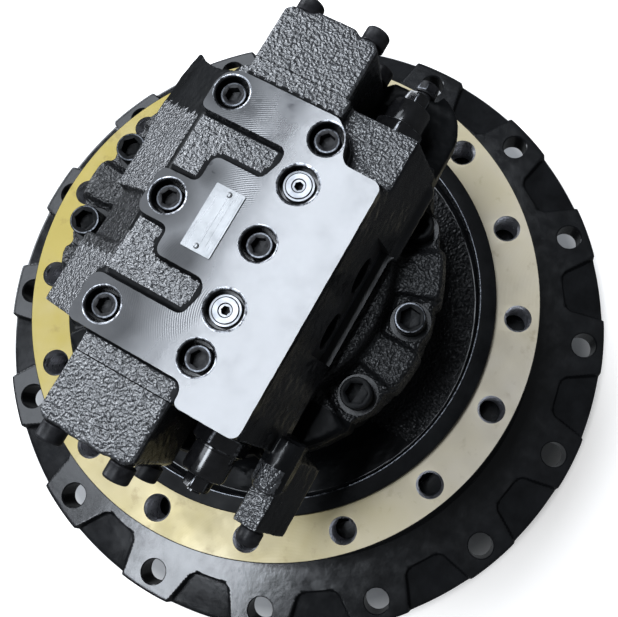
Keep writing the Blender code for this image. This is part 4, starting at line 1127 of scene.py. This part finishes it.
# ------------------------------------------------------------------ spool springs: steel copies of the CAD springs, which are hidden
for tag, s in (("upper", 1), ("lower", -1)):
    o = put("spool_spring_%s_coil" % tag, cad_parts["spool_spring_" + tag].data.copy(), [STEEL])
    shade(o, 50)
    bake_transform(o)
    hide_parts("spool_spring_" + tag)

# ------------------------------------------------------------------ CAD pieces that stay: the inside of the motor and gearbox
BRONZE_NODES = ("piston_set", "valve_plate")
for name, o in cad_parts.items():
    if o.hide_render:
        continue
    mt = BRONZE if name in BRONZE_NODES else STEEL
    o.data.materials.clear()
    o.data.materials.append(mt)

# ------------------------------------------------------------------ studio
floor = mesh("floor", [(-4000, -4000, 0), (4000, -4000, 0), (4000, 4000, 0), (-4000, 4000, 0)], [(0, 1, 2, 3)], recalc=False)
m = Mat("pale_floor_painted_shadow_and_glow", (0.86, 0.86, 0.86), 0.7)
pale = m.ramp(m.noise(3, 3), [(0.3, (0.93, 0.90, 0.87)), (0.7, (0.96, 0.93, 0.90))])
m.b.inputs["Emission Color"].default_value = (1.0, 1.0, 1.0, 1.0)
# painted shadow and light on the floor: within about 0.41 to 0.45 m of a point just off the axis the floor is painted
# grey and does not glow, a painted shadow under the part that shows through its holes; beyond it the floor glows, a
# painted light that lifts the part's cast shadow
shadow_disc_distance = m.node("ShaderNodeVectorMath", operation="DISTANCE")
shadow_disc_distance.inputs[1].default_value = (-0.073, 0.025, 0.0)
m.link(m.co, shadow_disc_distance.inputs[0])
m.color(m.mix(m.remap(shadow_disc_distance.outputs["Value"], 0.408, 0.452, 0.0, 1.0), (0.3, 0.3, 0.3), pale))
m.link(m.remap(shadow_disc_distance.outputs["Value"], 0.425, 0.447, 0.0, 0.6), m.b.inputs["Emission Strength"])
floor.data.materials.append(m.m)
floor.location = (0, 0, -0.0002)
floor.visible_glossy = False


def area(name, loc, size, power, target=(0, 0, 0.4), color=(1, 1, 1)):
    li = bpy.data.lights.new(name, "AREA")
    li.shape = "RECTANGLE"
    li.size, li.size_y = size
    li.energy = power
    li.color = color
    o = bpy.data.objects.new(name, li)
    scene.collection.objects.link(o)
    o.location = loc
    d = Vector(target) - Vector(loc)
    o.rotation_euler = d.to_track_quat("-Z", "Y").to_euler()
    return o


def overhead(name, x0, x1, y0, y1, z, radiance, color=(1, 1, 1)):
    """A soft box that looks straight down."""
    li = bpy.data.lights.new(name, "AREA")
    li.shape = "RECTANGLE"
    li.size, li.size_y = x1 - x0, y1 - y0
    li.energy = radiance * math.pi * (x1 - x0) * (y1 - y0)
    li.color = color
    o = bpy.data.objects.new(name, li)
    scene.collection.objects.link(o)
    o.location = ((x0 + x1) / 2, (y0 + y1) / 2, z)
    return o


overhead("main_box", -0.80, -0.2, -1.25, 1.0, 2.6, 11.8, (0.86, 0.92, 1.0))
overhead("side_box", -2.0, -0.92, -1.0, 1.6, 2.6, 2.8, (0.86, 0.92, 1.0))
area("window", (-2.3, 0.3, 1.25), (2.4, 1.1), 75.0, (0, 0.1, 0.5), (0.88, 0.93, 1.0))

world = bpy.data.worlds.new("studio")
scene.world = world
world.use_nodes = True
world.node_tree.nodes["Background"].inputs["Color"].default_value = (0.9, 0.95, 1.0, 1.0)
world.node_tree.nodes["Background"].inputs["Strength"].default_value = 0.09

cam = bpy.data.cameras.new("camera")
cam.sensor_fit = "HORIZONTAL"
cam.sensor_width = 36.0
cam.lens = 719.2839 * 36.0 / 618.0
cam.shift_x = -(380.3295 - 309.0) / 618.0
cam.shift_y = (327.8052 - 308.5) / 618.0
cam.clip_start, cam.clip_end = 0.01, 50.0
cam_o = bpy.data.objects.new("camera", cam)
scene.collection.objects.link(cam_o)
cam_o.matrix_world = Matrix(((0.87306859, -0.46548391, 0.14517568, 0.1928209), (0.48293764, 0.86657184, -0.12579543, -0.06516613), (-0.0672494, 0.17993884, 0.98137635, 1.03348936), (0, 0, 0, 1)))
scene.camera = cam_o
scene.view_settings.view_transform = "Standard"
